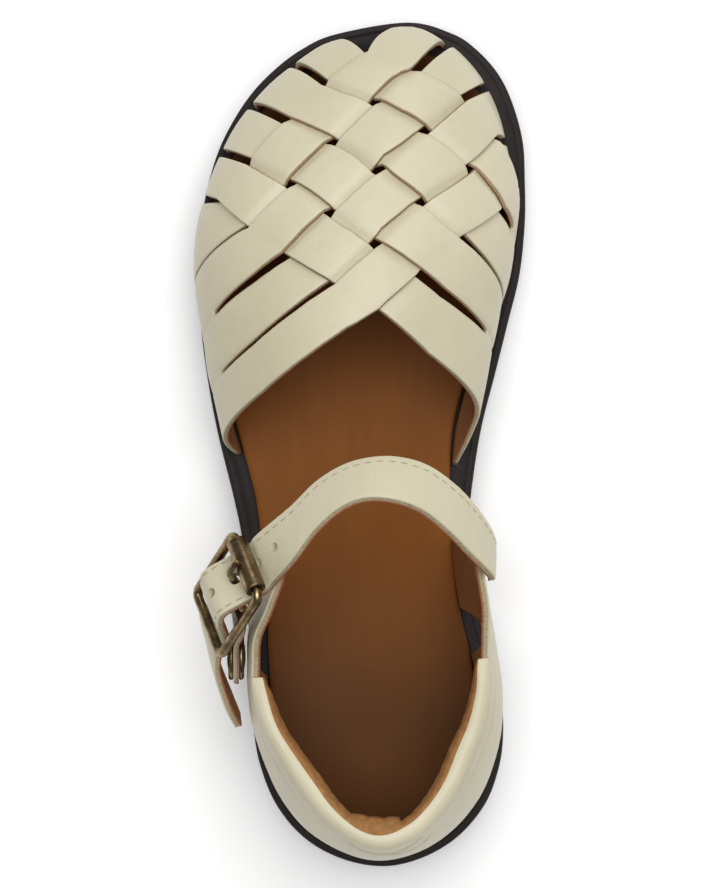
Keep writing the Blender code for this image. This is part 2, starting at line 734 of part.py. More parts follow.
def cut(part, tool, operation="DIFFERENCE"):
    """Applies a solid to a piece and removes it."""
    modifier = part.modifiers.new("shape", "BOOLEAN")
    modifier.operation = operation
    modifier.solver = "EXACT"
    modifier.object = tool
    shaped = bpy.data.meshes.new_from_object(part.evaluated_get(bpy.context.evaluated_depsgraph_get()))
    part.modifiers.clear()
    old = part.data
    part.data = shaped
    shaped.name = part.name
    bpy.data.meshes.remove(old)
    bpy.data.objects.remove(tool, do_unlink=True)


def build_collar():
    rings = []
    for place in np.linspace(COLLAR_START, COLLAR_END, COLLAR_RINGS):
        outward = quarter_outward(place)
        top = quarter_inner(place, 1.0)
        height = top[2] - quarter_inner(place, 0.0)[2]
        near = min(place - COLLAR_START, COLLAR_END - place) / COLLAR_TAPER
        size = COLLAR_END_SIZE + (1.0 - COLLAR_END_SIZE) * math.sin(min(near, 1.0) * math.pi / 2)
        ring = []
        for inward, up in COLLAR_SECTION:
            inward = COLLAR_SEAM + (inward - COLLAR_SEAM) * size if inward > COLLAR_SEAM else inward
            up = up * size if abs(up) > COLLAR_SEAT else up
            wall = quarter_inner(place, 1.0 + min(up, 0.0) / height)
            ring.append((wall[0] - outward[0] * inward, wall[1] - outward[1] * inward, top[2] + up))
        rings.append(ring)
    return make("collar", *loft(rings), CREAM, 0.45)


def unit(vector):
    vector = np.array(vector, float)
    return vector / np.linalg.norm(vector)


ACROSS = unit(BUCKLE_ACROSS)
ALONG = unit(np.array(BUCKLE_ALONG) - ACROSS * np.dot(ACROSS, BUCKLE_ALONG))
ABOVE = np.cross(ALONG, ACROSS)


def on_buckle(across, along, above):
    """Point in the axes of the buckle."""
    return np.array(BUCKLE_CENTRE) + ACROSS * across + ALONG * along + ABOVE * above


def strap_table():
    """Centre of the outer face, direction of the width and share of the width for each row of the strap."""
    rows = []
    for row in np.array(STRAP_ROWS):
        rows.append((*((row[:3] + row[3:]) / 2), *unit(row[3:] - row[:3]), 1.0))
    for along, above in STRAP_THROUGH:
        rows.append((*on_buckle(0.0, along, above + STRAP_THICK / 2), *ACROSS, THROUGH_SHARE))
    rows.extend(TAIL_ROWS)
    return np.array(rows)


def band(table, width, thick, steps, edge):
    """Rings of a flat strap led through a table of rows."""
    places = np.linspace(0.0, len(table) - 1 - FLAT, (len(table) - 1) * steps + 1)
    half = width / 2
    shape = ((edge - half, 0.0), (half - edge, 0.0), (half, -edge), (half, edge - thick),
             (half - edge, -thick), (edge - half, -thick), (-half, edge - thick), (-half, -edge))
    rings = []
    for place in places:
        row = spline(table, place)
        ahead = spline(table, min(place + BAND_STEP, places[-1]))
        behind = spline(table, max(place - BAND_STEP, 0.0))
        across = unit(row[3:6])
        above = unit(np.cross(ahead[:3] - behind[:3], across))
        rings.append([row[:3] + across * u * row[6] + above * v for u, v in shape])
    return rings


def rod(path, radius, sides, up):
    """Rings of a round rod along a list of points."""
    path = [np.array(p) for p in path]
    rings = []
    for i, point in enumerate(path):
        run = unit(path[min(i + 1, len(path) - 1)] - path[max(i - 1, 0)])
        side = unit(np.cross(run, up))
        top = np.cross(side, run)
        rings.append([point + (side * math.cos(t) + top * math.sin(t)) * radius
                      for t in np.arange(sides) * 2 * math.pi / sides])
    return rings


def build_strap():
    rings = band(strap_table(), STRAP_WIDTH, STRAP_THICK, STRAP_STEPS, STRAP_EDGE)
    strap = make("ankle_strap", *loft(rings), CREAM, 0.45)
    path = [on_buckle(0.0, along, above) for along, above in PRONG_HOLE]
    cut(strap, cutter("hole", *loft(rod(path, PRONG_HOLE_RADIUS, WIRE_SIDES, ACROSS))))
    return strap


def build_buckle():
    corner = FRAME_CORNER
    wire = []
    for i in range(4):
        sign_x = 1.0 if i in (0, 3) else -1.0
        sign_y = 1.0 if i in (0, 1) else -1.0
        for k in range(CORNER_STEPS + 1):
            turn = (i + k / CORNER_STEPS) * math.pi / 2
            wire.append((sign_x * (FRAME_HALF_WIDTH - corner) + corner * math.cos(turn),
                         sign_y * (FRAME_HALF_LENGTH - corner) + corner * math.sin(turn)))
    rings = []
    for i, (u, v) in enumerate(wire):
        before = np.array(wire[i - 1])
        after = np.array(wire[(i + 1) % len(wire)])
        run = unit(after - before)
        side = np.array((run[1], -run[0]))
        ring = []
        for t in np.arange(WIRE_SIDES) * 2 * math.pi / WIRE_SIDES:
            out = side * math.cos(t) * WIRE_RADIUS
            ring.append(on_buckle(u + out[0], v + out[1], math.sin(t) * WIRE_RADIUS))
        rings.append(ring)
    frame = make("buckle_frame", *loft(rings, closed_path=True), BRASS, 0.35, 1.0)
    ends = (on_buckle(-FRAME_HALF_WIDTH, 0.0, 0.0), on_buckle(FRAME_HALF_WIDTH, 0.0, 0.0))
    drop = FRAME_HALF_WIDTH - BAR_SHOULDER
    path = (ends[0], on_buckle(-drop, 0.0, BAR_DROP), on_buckle(drop, 0.0, BAR_DROP), ends[1])
    cut(frame, cutter("bar", *loft(rod(path, BAR_RADIUS, WIRE_SIDES, ALONG))), "UNION")
    half = ROLLER_LENGTH / 2
    tube = []
    section_corners = (
        (-half, ROLLER_RADIUS), (half, ROLLER_RADIUS), (half, ROLLER_BORE), (-half, ROLLER_BORE),
    )
    for u, radius in section_corners:
        tube.append([on_buckle(u, -FRAME_HALF_LENGTH + math.cos(t) * radius, math.sin(t) * radius)
                     for t in np.arange(ROLLER_SIDES) * 2 * math.pi / ROLLER_SIDES])
    make("buckle_roller", *loft(tube, closed_path=True), BRASS, 0.35, 1.0)
    turns = [math.radians(t) for t in PRONG_RING_TURN]
    hook = [on_buckle(0.0, PRONG_RING * math.cos(t), BAR_DROP + PRONG_RING * math.sin(t)) for t in turns]
    hook += [on_buckle(0.0, along, above) for along, above in PRONG_PATH]
    make("buckle_prong", *loft(rod(hook, PRONG_RADIUS, WIRE_SIDES, ACROSS)), BRASS, 0.35, 1.0)


def stud_point(distance):
    return np.array(STUD_CENTRE) + unit(STUD_AXIS) * distance


def build_chape():
    rows = []
    bore = CHAPE_LOOP - CHAPE_THICK / 2
    for turn in CHAPE_TURN:
        t = math.radians(turn)
        rows.append((*on_buckle(0.0, bore * math.cos(t), BAR_DROP + bore * math.sin(t)), *ACROSS, 1.0))
    for along, above in CHAPE_RUN:
        rows.append((*on_buckle(0.0, along, above + CHAPE_THICK / 2), *ACROSS, 1.0))
    seat = stud_point(CHAPE_SPAN[1])
    axis = unit(STUD_AXIS)
    drop = seat - np.array(rows[-1][:3])
    drop = unit(drop - axis * np.dot(drop, axis))
    across = np.cross(axis, drop)
    for share, width in CHAPE_SEAT:
        rows.append((*(seat + drop * STUD_RADIUS * share), *across, width))
    rings = band(np.array(rows), CHAPE_WIDTH, CHAPE_THICK, STRAP_STEPS, CHAPE_EDGE)
    chape = make("buckle_chape", *loft(rings), CREAM, 0.45)
    corners = (
        (-SLOT_HALF, SLOT_START), (SLOT_HALF, SLOT_START), (SLOT_HALF, SLOT_END), (-SLOT_HALF, SLOT_END),
    )
    slot = [[on_buckle(u, v, above) for u, v in corners] for above in SLOT_SPAN]
    cut(chape, cutter("slot", *loft(slot)))
    return chape


def build_stud():
    for name, span in (("press_stud_socket", SOCKET_SPAN), ("press_stud_cap", CAP_SPAN)):
        path = [stud_point(d) for d in span]
        make(name, *loft(rod(path, STUD_RADIUS, STUD_SIDES, (0.0, 0.0, 1.0))), BRASS, 0.4, 1.0)


CREAM = (0.65, 0.60, 0.44)
TAN = (0.20, 0.075, 0.025)
DARK = (0.03, 0.02, 0.018)
BRASS = (0.30, 0.22, 0.11)

for old in list(bpy.data.objects):
    bpy.data.objects.remove(old, do_unlink=True)

ladder("outsole", [sole_level(*row) for row in SOLE_SIDE], DARK, 0.6)
ladder("insole", [insole_level(*row) for row in INSOLE_SIDE], TAN, 0.5)
build_vamp()
build_quarter()
build_collar()
build_strap()
build_buckle()
build_chape()
build_stud()
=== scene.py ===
# %% [markdown]
# This lesson dresses a small child's woven sandal for the left foot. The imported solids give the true
# places, so each soft piece is built again on the same tables with finer points, real leather edges and
# its own finish. All tables are in millimetres; X points to the inner side of the foot, Y to the toe and Z
# up.

# %% Load the solids
import math
import bmesh
import bpy
import numpy as np
from mathutils import Matrix, Vector


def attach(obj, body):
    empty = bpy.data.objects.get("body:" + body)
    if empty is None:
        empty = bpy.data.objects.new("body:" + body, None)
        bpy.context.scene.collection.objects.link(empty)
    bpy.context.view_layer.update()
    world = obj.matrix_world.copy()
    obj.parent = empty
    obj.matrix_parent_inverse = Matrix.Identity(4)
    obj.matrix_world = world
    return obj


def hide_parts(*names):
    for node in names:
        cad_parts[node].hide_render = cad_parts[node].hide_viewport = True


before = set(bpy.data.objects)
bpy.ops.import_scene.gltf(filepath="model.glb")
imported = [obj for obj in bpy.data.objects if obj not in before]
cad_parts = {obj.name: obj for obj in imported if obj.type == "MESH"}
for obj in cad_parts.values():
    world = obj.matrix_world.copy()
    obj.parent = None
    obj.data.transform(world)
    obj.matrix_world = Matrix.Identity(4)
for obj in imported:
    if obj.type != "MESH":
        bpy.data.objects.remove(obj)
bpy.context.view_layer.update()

# Metres in a millimetre, air between two pieces, and a length or step that counts as nothing
MM = 0.001
GAP = 0.3
FLAT = 1e-9
print("solids:", sorted(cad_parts))

# %% [markdown]
# The picture looks straight down from a little over a metre, from a point on the inner side of the shoe. A
# long lens keeps the sides nearly parallel. The camera stands there and turns towards the shoe, with the
# toe upwards, and the lens leaves a small border round it.

# %% Camera
EYE = Vector((0.039, 0.0, 1.11))
AIM = Vector((0.0, 0.0, 0.012))
FIELD = math.radians(10.42)
lens = bpy.data.cameras.new("camera")
lens.sensor_fit = "VERTICAL"
lens.angle = FIELD
camera = bpy.data.objects.new("camera", lens)
camera.location = EYE
back = (EYE - AIM).normalized()
right = Vector((0.0, 1.0, 0.0)).cross(back).normalized()
turned_axes = Matrix((right, back.cross(right), back)).transposed()
camera.rotation_euler = turned_axes.to_euler()
bpy.context.scene.collection.objects.link(camera)
bpy.context.scene.camera = camera
print("camera height", round(EYE.z, 3))

# %% [markdown]
# A shop picture has soft light from all round, so that the cream leather shows its true colour and only
# the inside falls into shade. A very wide lamp overhead does most of it, so that the upright sides are
# darker than the top. A second lamp in front of the toe lights the slopes of the strips there. The floor
# glows a little, as a lit sweep does.

# %% Light
WHITE = (1.0, 1.0, 1.0, 1.0)
WORLD_LIGHT = 0.17
world = bpy.data.worlds.new("studio")
bpy.context.scene.world = world
world.use_nodes = True
backdrop = world.node_tree.nodes["Background"]
backdrop.inputs["Color"].default_value = WHITE
backdrop.inputs["Strength"].default_value = WORLD_LIGHT
# Lamps: name, place, size and power
LAMPS = (
    ("sky", (0.1, 0.15, 1.47), 1.3, 19.5),
    ("key", (0.3, 1.0, 0.95), 0.9, 4.5),
)
for name, place, size, power in LAMPS:
    lamp = bpy.data.lights.new(name, "AREA")
    lamp.size = size
    lamp.energy = power
    holder = bpy.data.objects.new(name, lamp)
    holder.location = place
    holder.rotation_euler = (-Vector(place)).to_track_quat("-Z", "Y").to_euler()
    bpy.context.scene.collection.objects.link(holder)
bpy.context.scene.view_settings.view_transform = "Standard"
print("lamps:", [row[0] for row in LAMPS])


# %% Meshes and the floor
def mesh_object(name, points, faces):
    """A mesh object from points in millimetres, with its faces turned outwards."""
    mesh = bpy.data.meshes.new(name)
    mesh.from_pydata([tuple(float(c) * MM for c in p) for p in points], [], [tuple(f) for f in faces])
    body = bmesh.new()
    body.from_mesh(mesh)
    bmesh.ops.recalc_face_normals(body, faces=body.faces)
    body.to_mesh(mesh)
    body.free()
    made = bpy.data.objects.new(name, mesh)
    bpy.context.scene.collection.objects.link(made)
    return made


FLOOR = 3000.0
floor = mesh_object("floor", [(-FLOOR, -FLOOR, 0), (FLOOR, -FLOOR, 0), (FLOOR, FLOOR, 0), (-FLOOR, FLOOR, 0)],
                    [(0, 1, 2, 3)])
print("floor:", 2 * FLOOR * MM, "metres wide")

# %% [markdown]
# Finishes are written as sums. This class holds one socket of a material, and a sum on it adds the Math
# nodes. Colours go through a Mix node. Every other node comes from one method that takes its kind,
# settings and sockets.

# %% Sums on sockets
# Sockets of a Mix node that carry colours: the two inputs and the result
COLOUR_A = 6
COLOUR_B = 7
COLOUR_RESULT = 2


class Value:
    """A socket of a material that Python can do sums with."""

    def __init__(self, tree, socket=None):
        self.tree = tree
        self.socket = socket

    def node(self, kind, settings=None, inputs=None, output=0):
        """A new node with its settings and inputs, as the socket of one of its outputs."""
        made = self.tree.nodes.new(kind)
        for key, value in (settings or {}).items():
            setattr(made, key, value)
        for key, value in (inputs or {}).items():
            if isinstance(value, Value):
                self.tree.links.new(value.socket, made.inputs[key])
            else:
                made.inputs[key].default_value = value
        return Value(self.tree, made.outputs[output])

    def math(self, operation, first, second):
        return self.node("ShaderNodeMath", {"operation": operation}, {0: first, 1: second})

    def __add__(self, other):
        return self.math("ADD", self, other)

    def __radd__(self, other):
        return self.math("ADD", other, self)

    def __sub__(self, other):
        return self.math("SUBTRACT", self, other)

    def __rsub__(self, other):
        return self.math("SUBTRACT", other, self)

    def __mul__(self, other):
        return self.math("MULTIPLY", self, other)

    def __rmul__(self, other):
        return self.math("MULTIPLY", other, self)

    def ramp(self, low, high):
        """0 below low, 1 above high, smooth between."""
        return self.node("ShaderNodeMapRange", {"interpolation_type": "SMOOTHSTEP"},
                         {"Value": self, "From Min": low, "From Max": high})

    def between(self, first, second):
        """Colour between two colours, with this value as the share."""
        return self.node("ShaderNodeMix", {"data_type": "RGBA"},
                         {0: self, COLOUR_A: colour(first), COLOUR_B: colour(second)}, COLOUR_RESULT)


def colour(value):
    """A colour as a socket value, with alpha."""
    return value if isinstance(value, Value) else (*value, 1.0)


print("class for sums:", Value.__name__)


# %% Finishes
def linear(level):
    """Linear share of a level on a screen, 0 to 255."""
    share = level / 255
    return share / 12.92 if level < 11 else ((share + 0.055) / 1.055) ** 2.4


def srgb(red, green, blue):
    """A colour that is read by eye on a screen, as a linear colour."""
    return linear(red), linear(green), linear(blue)


class Finish:
    """A new material with its coordinates, attributes and noises at hand."""

    def __init__(self, name):
        self.material = bpy.data.materials.new(name)
        self.material.use_nodes = True
        self.tree = self.material.node_tree
        self.shader = self.tree.nodes["Principled BSDF"]
        self.kit = Value(self.tree)
        self.place = self.kit.node("ShaderNodeTexCoord", output="Object")

    def noise(self, per_metre, detail=2.0, rough=0.5, stretch=None):
        """Soft noise; a stretch draws it out along the axes."""
        place = self.place
        if stretch:
            place = self.kit.node("ShaderNodeVectorMath", {"operation": "MULTIPLY"}, {0: place, 1: stretch})
        return self.kit.node("ShaderNodeTexNoise", {},
                             {"Vector": place, "Scale": per_metre, "Detail": detail, "Roughness": rough})

    def cells(self, per_metre):
        """Distance from the middle of a cell."""
        return self.kit.node("ShaderNodeTexVoronoi", {}, {"Vector": self.place, "Scale": per_metre})

    def attribute(self, name):
        """A number kept on the points of the mesh."""
        return self.kit.node("ShaderNodeAttribute", {"attribute_name": name}, output="Fac")

    def set(self, socket, value):
        """Links a sum to a socket of the shader, or sets a plain value there."""
        if isinstance(value, Value):
            self.tree.links.new(value.socket, self.shader.inputs[socket])
        else:
            self.shader.inputs[socket].default_value = value

    def bump(self, height, strength, distance):
        """Small relief from a height."""
        self.set("Normal", self.kit.node("ShaderNodeBump", {}, {"Height": height, "Strength": strength,
                                                                "Distance": distance}))

    def dress(self, *pieces):
        """Gives the finish to pieces."""
        for made in pieces:
            made.data.materials.append(self.material)
        print(self.material.name, "on", len(pieces), "pieces with", len(self.tree.nodes), "nodes")


print("a middle grey as a linear colour:", [round(c, 3) for c in srgb(128, 128, 128)])

# %% Finish of the floor
FLOOR_GLOW = 0.19
floor_finish = Finish("pale_floor")
floor_tone = floor_finish.noise(3.0).ramp(0.3, 0.7)
floor_finish.set("Base Color", floor_tone.between((0.9, 0.9, 0.9), (0.92, 0.92, 0.92)))
floor_finish.set("Roughness", 0.7)
floor_finish.set("Emission Color", WHITE)
floor_finish.set("Emission Strength", FLOOR_GLOW)
floor_finish.dress(floor)

# %% [markdown]
# The sole's outline, toe spring, arch and heel are one table of sections, the same as that of the solids.
# A smooth curve through the rows gives any section between them, so the fine pieces stay on the solid's
# form.

# %% Table of the sole
# Outline and heights of the sole, a row for each section from toe tip to heel tip
SOLE_COLUMNS = ("y", "lateral", "medial", "lateral_rim", "medial_rim", "top", "bottom")
SOLE_ROWS = (
    (95.0, 11.0, 11.0, 3.1, 3.1, 14.0, 5.0),
    (92.5, -5.0, 21.0, 3.7, 4.3, 13.6, 4.5),
    (89.0, -13.1, 26.4, 4.2, 4.9, 13.1, 3.9),
    (83.6, -20.2, 31.3, 4.3, 5.2, 12.3, 3.0),
    (77.2, -25.9, 34.5, 4.0, 5.3, 11.5, 2.1),
    (68.5, -31.0, 36.9, 3.6, 5.2, 10.6, 1.0),
    (59.9, -34.0, 37.4, 3.0, 5.0, 10.0, 0.2),
    (50.0, -36.0, 37.4, 2.2, 4.8, 9.7, 0.0),
    (38.4, -37.1, 36.2, 2.2, 5.0, 9.6, 0.0),
    (27.6, -36.1, 33.6, 2.4, 5.2, 9.8, 0.0),
    (16.0, -34.6, 30.7, 2.8, 5.6, 10.4, 0.2),
    (2.8, -32.1, 27.4, 4.2, 5.8, 11.4, 1.2),
    (-11.9, -28.4, 25.2, 4.6, 4.8, 12.7, 2.0),
    (-22.0, -26.3, 24.6, 4.0, 4.0, 13.6, 2.0),
    (-33.8, -25.2, 25.9, 4.0, 4.0, 14.6, 1.2),
    (-46.8, -24.6, 29.5, 4.0, 4.2, 15.4, 0.0),
    (-58.0, -24.1, 32.1, 4.0, 4.4, 15.9, 0.0),
    (-65.5, -23.5, 32.5, 4.0, 4.4, 16.1, 0.0),
    (-72.2, -22.2, 31.7, 4.0, 4.4, 16.2, 0.0),
    (-80.0, -19.2, 29.0, 4.1, 4.4, 16.2, 0.0),
    (-86.4, -14.6, 24.3, 4.2, 4.4, 16.2, 0.0),
    (-90.9, -9.0, 18.7, 4.3, 4.4, 16.2, 0.3),
    (-93.9, -2.0, 12.0, 4.4, 4.4, 16.2, 0.7),
    (-95.0, 5.3, 5.3, 4.4, 4.4, 16.2, 1.0),
)
LAST_ROW = len(SOLE_ROWS) - 1
print("sections of the sole:", len(SOLE_ROWS))

# %% Curves through the table
OUTLINE_SAMPLES = 441
OUTLINE_STEP = 0.01


def spline(rows, position):
    """Smooth value of a table of rows at a place between two rows."""
    first = min(int(math.floor(position)), len(rows) - 2)
    part = position - first
    before = rows[max(first - 1, 0)]
    after = rows[min(first + 2, len(rows) - 1)]
    start = rows[first]
    end = rows[first + 1]
    slope_in = (end - before) * 0.5
    slope_out = (after - start) * 0.5
    square = part * part
    cube = square * part
    return (start * (2 * cube - 3 * square + 1) + slope_in * (cube - 2 * square + part)
            + end * (3 * square - 2 * cube) + slope_out * (cube - square))


def mirrored(row):
    """The row one step round the tip: the two sides change places."""
    return np.array((row[0], row[2], row[1], row[4], row[3], row[5], row[6]))


SOLE_TABLE = np.array(SOLE_ROWS)
SOLE_SPLINE = np.vstack((mirrored(SOLE_TABLE[1]), SOLE_TABLE, mirrored(SOLE_TABLE[-2])))


def section(position):
    """All columns of the sole table at a place along the shoe."""
    values = spline(SOLE_SPLINE, min(max(position, 0.0), LAST_ROW - FLAT) + 1.0)
    return dict(zip(SOLE_COLUMNS, values))


def edge_point(side, position, inset):
    """Point of the outline moved inwards, side -1 lateral and +1 medial."""
    step = OUTLINE_STEP
    column = "lateral" if side < 0 else "medial"
    here = section(position)
    ahead = section(position + step)
    behind = section(position - step)
    run = np.array((ahead[column] - behind[column], ahead["y"] - behind["y"]))
    if position < step:
        run = np.array((float(side), 0.0))
    if position > LAST_ROW - step:
        run = np.array((-float(side), 0.0))
    run = run / np.linalg.norm(run)
    inward = np.array((run[1], -run[0])) * side
    return np.array((here[column], here["y"])) + inward * inset


def rim(side, position):
    """Width of the rim between the sole's edge and the inside of the upper."""
    return section(position)["lateral_rim" if side < 0 else "medial_rim"]


SIDE_SAMPLES = np.linspace(0.0, LAST_ROW, OUTLINE_SAMPLES)
HEIGHT_Y = np.array([section(k)["y"] for k in SIDE_SAMPLES])[::-1]
HEIGHT_TOP = np.array([section(k)["top"] for k in SIDE_SAMPLES])[::-1]
HEIGHT_BOTTOM = np.maximum(np.array([section(k)["bottom"] for k in SIDE_SAMPLES]), 0.0)[::-1]


def sole_top(y):
    """Height of the sole's top."""
    return np.interp(y, HEIGHT_Y, HEIGHT_TOP)


def sole_bottom(y):
    """Height of the sole's underside."""
    return np.interp(y, HEIGHT_Y, HEIGHT_BOTTOM)


print("sole from", HEIGHT_Y[0], "to", HEIGHT_Y[-1])

# %% [markdown]
# The foot's form over the forepart is a rounded arch that stands on a foot line round the toe and swells a
# little over it. The strips were laid out on a flat pattern. A place on it is carried to the arch by the
# length of leather that climbs the wall, so that a strip keeps its width where it turns down to the sole.

# %% Form of the forepart
# Forepart of the last: rise of the crown over the foot line
# Columns: y, rise
CROWN_ROWS = (
    (-30.0, 46.0), (0.0, 42.0), (30.0, 37.0), (45.0, 33.0), (60.0, 28.0), (75.0, 23.5), (95.0, 20.0),
)
# Reach of the arch. Columns: foot, reach
REACH_ROWS = ((-60.0, 38.0), (0.0, 35.0), (60.0, 31.0))
ROUNDNESS = 2.3
# Outward swell of the wall. Columns: foot, swell
SWELL_ROWS = (
    (-124.0, 3.4), (-109.0, 1.9), (-96.0, 1.1), (-85.0, 1.4), (-67.0, 2.2), (-45.0, 2.4),
    (-18.0, 2.4), (0.0, 1.9), (12.0, 1.2), (22.0, 0.4), (34.0, 0.6), (40.0, 1.6),
    (48.0, 2.9), (58.0, 3.2), (71.0, 2.8), (95.0, 5.0), (112.0, 5.0),
)
# Length of wall that swells
SWELL_CLIMB = 34.0
ARC_STEPS = 60

# Foot line of the forepart: inside of the upper where it meets the sole
FORE_END = 14.5
FORE_SAMPLES = 360


def foot_line():
    """Points from the lateral side round the toe to the medial side."""
    places = np.linspace(0.0, FORE_END, FORE_SAMPLES)
    lateral = [edge_point(-1, k, rim(-1, k)) for k in places]
    medial = [edge_point(1, k, rim(1, k)) for k in places]
    return np.array(lateral[:0:-1] + medial)


FOOT = foot_line()
FOOT_STEP = np.linalg.norm(np.diff(FOOT, axis=0), axis=1)
FOOT_ARC = np.concatenate(((0.0,), np.cumsum(FOOT_STEP)))
FOOT_ARC = FOOT_ARC - FOOT_ARC[FORE_SAMPLES - 1]
FOOT_RUN = np.gradient(FOOT, axis=0)
FOOT_RUN = FOOT_RUN / np.linalg.norm(FOOT_RUN, axis=1)[:, None]
FOOT_IN = np.stack((FOOT_RUN[:, 1], -FOOT_RUN[:, 0]), axis=1)
CROWN = np.array(CROWN_ROWS)
REACH = np.array(REACH_ROWS)
SWELL = np.array(SWELL_ROWS)
PROFILE_TURN = np.linspace(0.0, math.pi / 2, ARC_STEPS)
PROFILE_OUT = 1.0 - np.cos(PROFILE_TURN) ** (2.0 / ROUNDNESS)
PROFILE_UP = np.sin(PROFILE_TURN) ** (2.0 / ROUNDNESS)
print("foot line", round(FOOT_ARC[-1] - FOOT_ARC[0]), "mm long")


# %% From the flat pattern to the form
def wall_profile(foot):
    """Reach, rise and arc lengths of the section that stands on a place of the foot line."""
    reach = np.interp(foot, REACH[:, 0], REACH[:, 1])
    y = np.interp(foot, FOOT_ARC, FOOT[:, 1])
    rise = np.interp(y, CROWN[:, 0], CROWN[:, 1])
    out = PROFILE_OUT * reach
    up = PROFILE_UP * rise
    arc = np.concatenate(((0.0,), np.cumsum(np.hypot(np.diff(out), np.diff(up)))))
    return reach, out, arc


def foot_frame(foot):
    """Point of the foot line and the direction inwards from it."""
    base = np.array([np.interp(foot, FOOT_ARC, FOOT[:, c]) for c in range(2)])
    inward = np.array([np.interp(foot, FOOT_ARC, FOOT_IN[:, c]) for c in range(2)])
    return base, inward


def from_pattern(flat):
    """Point of the last for a point of the flat pattern."""
    delta = flat - FOOT
    distance = np.hypot(delta[:, 0], delta[:, 1])
    best = int(np.argmin(distance / np.interp(FOOT_ARC, REACH[:, 0], REACH[:, 1])))
    along = float(np.dot(flat - FOOT[best], FOOT_RUN[best]))
    foot = FOOT_ARC[best] + along
    depth = float(np.dot(flat - FOOT[best], FOOT_IN[best]))
    return on_last(foot, depth)


def on_last(foot, depth):
    """Point of the last above a place of the foot line; depth is measured on the flat pattern."""
    reach, out, arc = wall_profile(foot)
    climbed = min(max(depth + arc[-1] - reach, 0.0), arc[-1])
    inset = np.interp(climbed, arc, out)
    if depth > reach:
        inset = depth
    base, inward = foot_frame(foot)
    swell = np.interp(foot, SWELL[:, 0], SWELL[:, 1]) * math.sin(math.pi * min(climbed / SWELL_CLIMB, 1.0))
    x, y = base + inward * (inset - swell)
    share = min(inset / reach, 1.0)
    rise = np.interp(y, CROWN[:, 0], CROWN[:, 1])
    lift = rise * (1.0 - (1.0 - share) ** ROUNDNESS) ** (1.0 / ROUNDNESS)
    return np.array((x, y, sole_top(y) + GAP + lift))


def pattern_end(foot):
    """Place on the flat pattern of a point of the foot line."""
    reach, out, arc = wall_profile(foot)
    base, inward = foot_frame(foot)
    return base - inward * (arc[-1] - reach)


print("toe tip of the pattern:", np.round(pattern_end(0.0), 1))

# %% [markdown]
# Every strip and panel is cut leather: a smooth cream face, a cut edge that shows the fibres and, at its
# bottom, the rust line of the lining. A solidify modifier would give square edges, so the panels are put
# together by hand. The face is drawn in a little at its border, rings step down the edge, and the lining
# closes the back. Each point keeps how deep it lies in the leather, and the finish reads that to colour
# face, edge and lining.

# %% Cut leather
# Cut edge from the face to the back: how far it is drawn in, share of the depth
EDGE_RINGS = ((0.34, 0.0), (0.24, 0.04), (0.2, 0.16), (0.12, 0.58), (0.04, 0.84), (0.0, 0.95), (0.15, 1.0))
# Least sum of the border's directions at a corner, so that a sharp one isn't drawn in too far
CORNER_LEAST = 0.6


def unit(vector):
    """Direction with a length of 1."""
    vector = np.array(vector, float)
    return vector / max(np.linalg.norm(vector), FLAT)


def keep_values(made, **values):
    """Stores a number for each point of a mesh, for the finish to read."""
    for name, numbers in values.items():
        layer = made.data.attributes.new(name, "FLOAT", "POINT")
        layer.data.foreach_set("value", np.array(numbers, np.float32))


def smooth(made):
    """Shades all faces of a mesh smoothly."""
    made.data.polygons.foreach_set("use_smooth", [True] * len(made.data.polygons))
    return made


print("edge rings:", len(EDGE_RINGS))


# %% Panel from grid cells
def leather(name, cells, place, outward, thick, draw=None):
    """Panel of cut leather from grid cells. Points lie on its back; draw tells how far its face draws in."""
    keys = sorted({k for ring in cells for k in ring})
    order = {k: n for n, k in enumerate(keys)}
    back = np.array([place[k] for k in keys])
    out = np.array([outward[k] for k in keys])
    wall = np.array([thick[k] for k in keys])
    rings = np.array([[order[k] for k in ring] for ring in cells])
    turn = np.cross(back[rings[:, 2]] - back[rings[:, 0]], back[rings[:, 3]] - back[rings[:, 1]])
    flip = np.einsum("ij,ij->i", turn, out[rings[:, 0]]) < 0
    rings[flip] = rings[flip][:, ::-1]
    sides = {(ring[k], ring[(k + 1) % 4]) for ring in rings.tolist() for k in range(4)}
    border = sorted(pair for pair in sides if (pair[1], pair[0]) not in sides)
    away = np.zeros_like(back)
    for a, b in border:
        side = unit(np.cross(back[b] - back[a], out[a]))
        away[a] += side
        away[b] += side
    away /= np.maximum(np.linalg.norm(away, axis=1), CORNER_LEAST)[:, None]
    if draw:
        away *= np.array([draw[k] for k in keys])[:, None]
    rim_points = sorted({c for pair in border for c in pair})
    slot = {c: n for n, c in enumerate(rim_points)}
    count = len(keys)
    sheet = [back + out * wall[:, None] - away * EDGE_RINGS[0][0], back - away * EDGE_RINGS[-1][0]]
    depth = [np.zeros(count), np.ones(count)]
    for pull, deep in EDGE_RINGS[1:-1]:
        at = np.array(rim_points)
        sheet.append(back[at] + out[at] * (wall[at] * (1.0 - deep))[:, None] - away[at] * pull)
        depth.append(np.full(len(at), deep))
    points = np.concatenate(sheet)
    levels = [lambda c: c]
    for k in range(len(EDGE_RINGS) - 2):
        levels.append(lambda c, start=2 * count + k * len(rim_points): start + slot[c])
    levels.append(lambda c: count + c)
    faces = [tuple(ring) for ring in rings.tolist()]
    faces += [tuple(count + c for c in ring[::-1]) for ring in rings.tolist()]
    for a, b in border:
        for high, low in zip(levels, levels[1:]):
            faces.append((high(b), high(a), low(a), low(b)))
    made = smooth(mesh_object(name, points, faces))
    keep_values(made, depth=np.concatenate(depth))
    return made


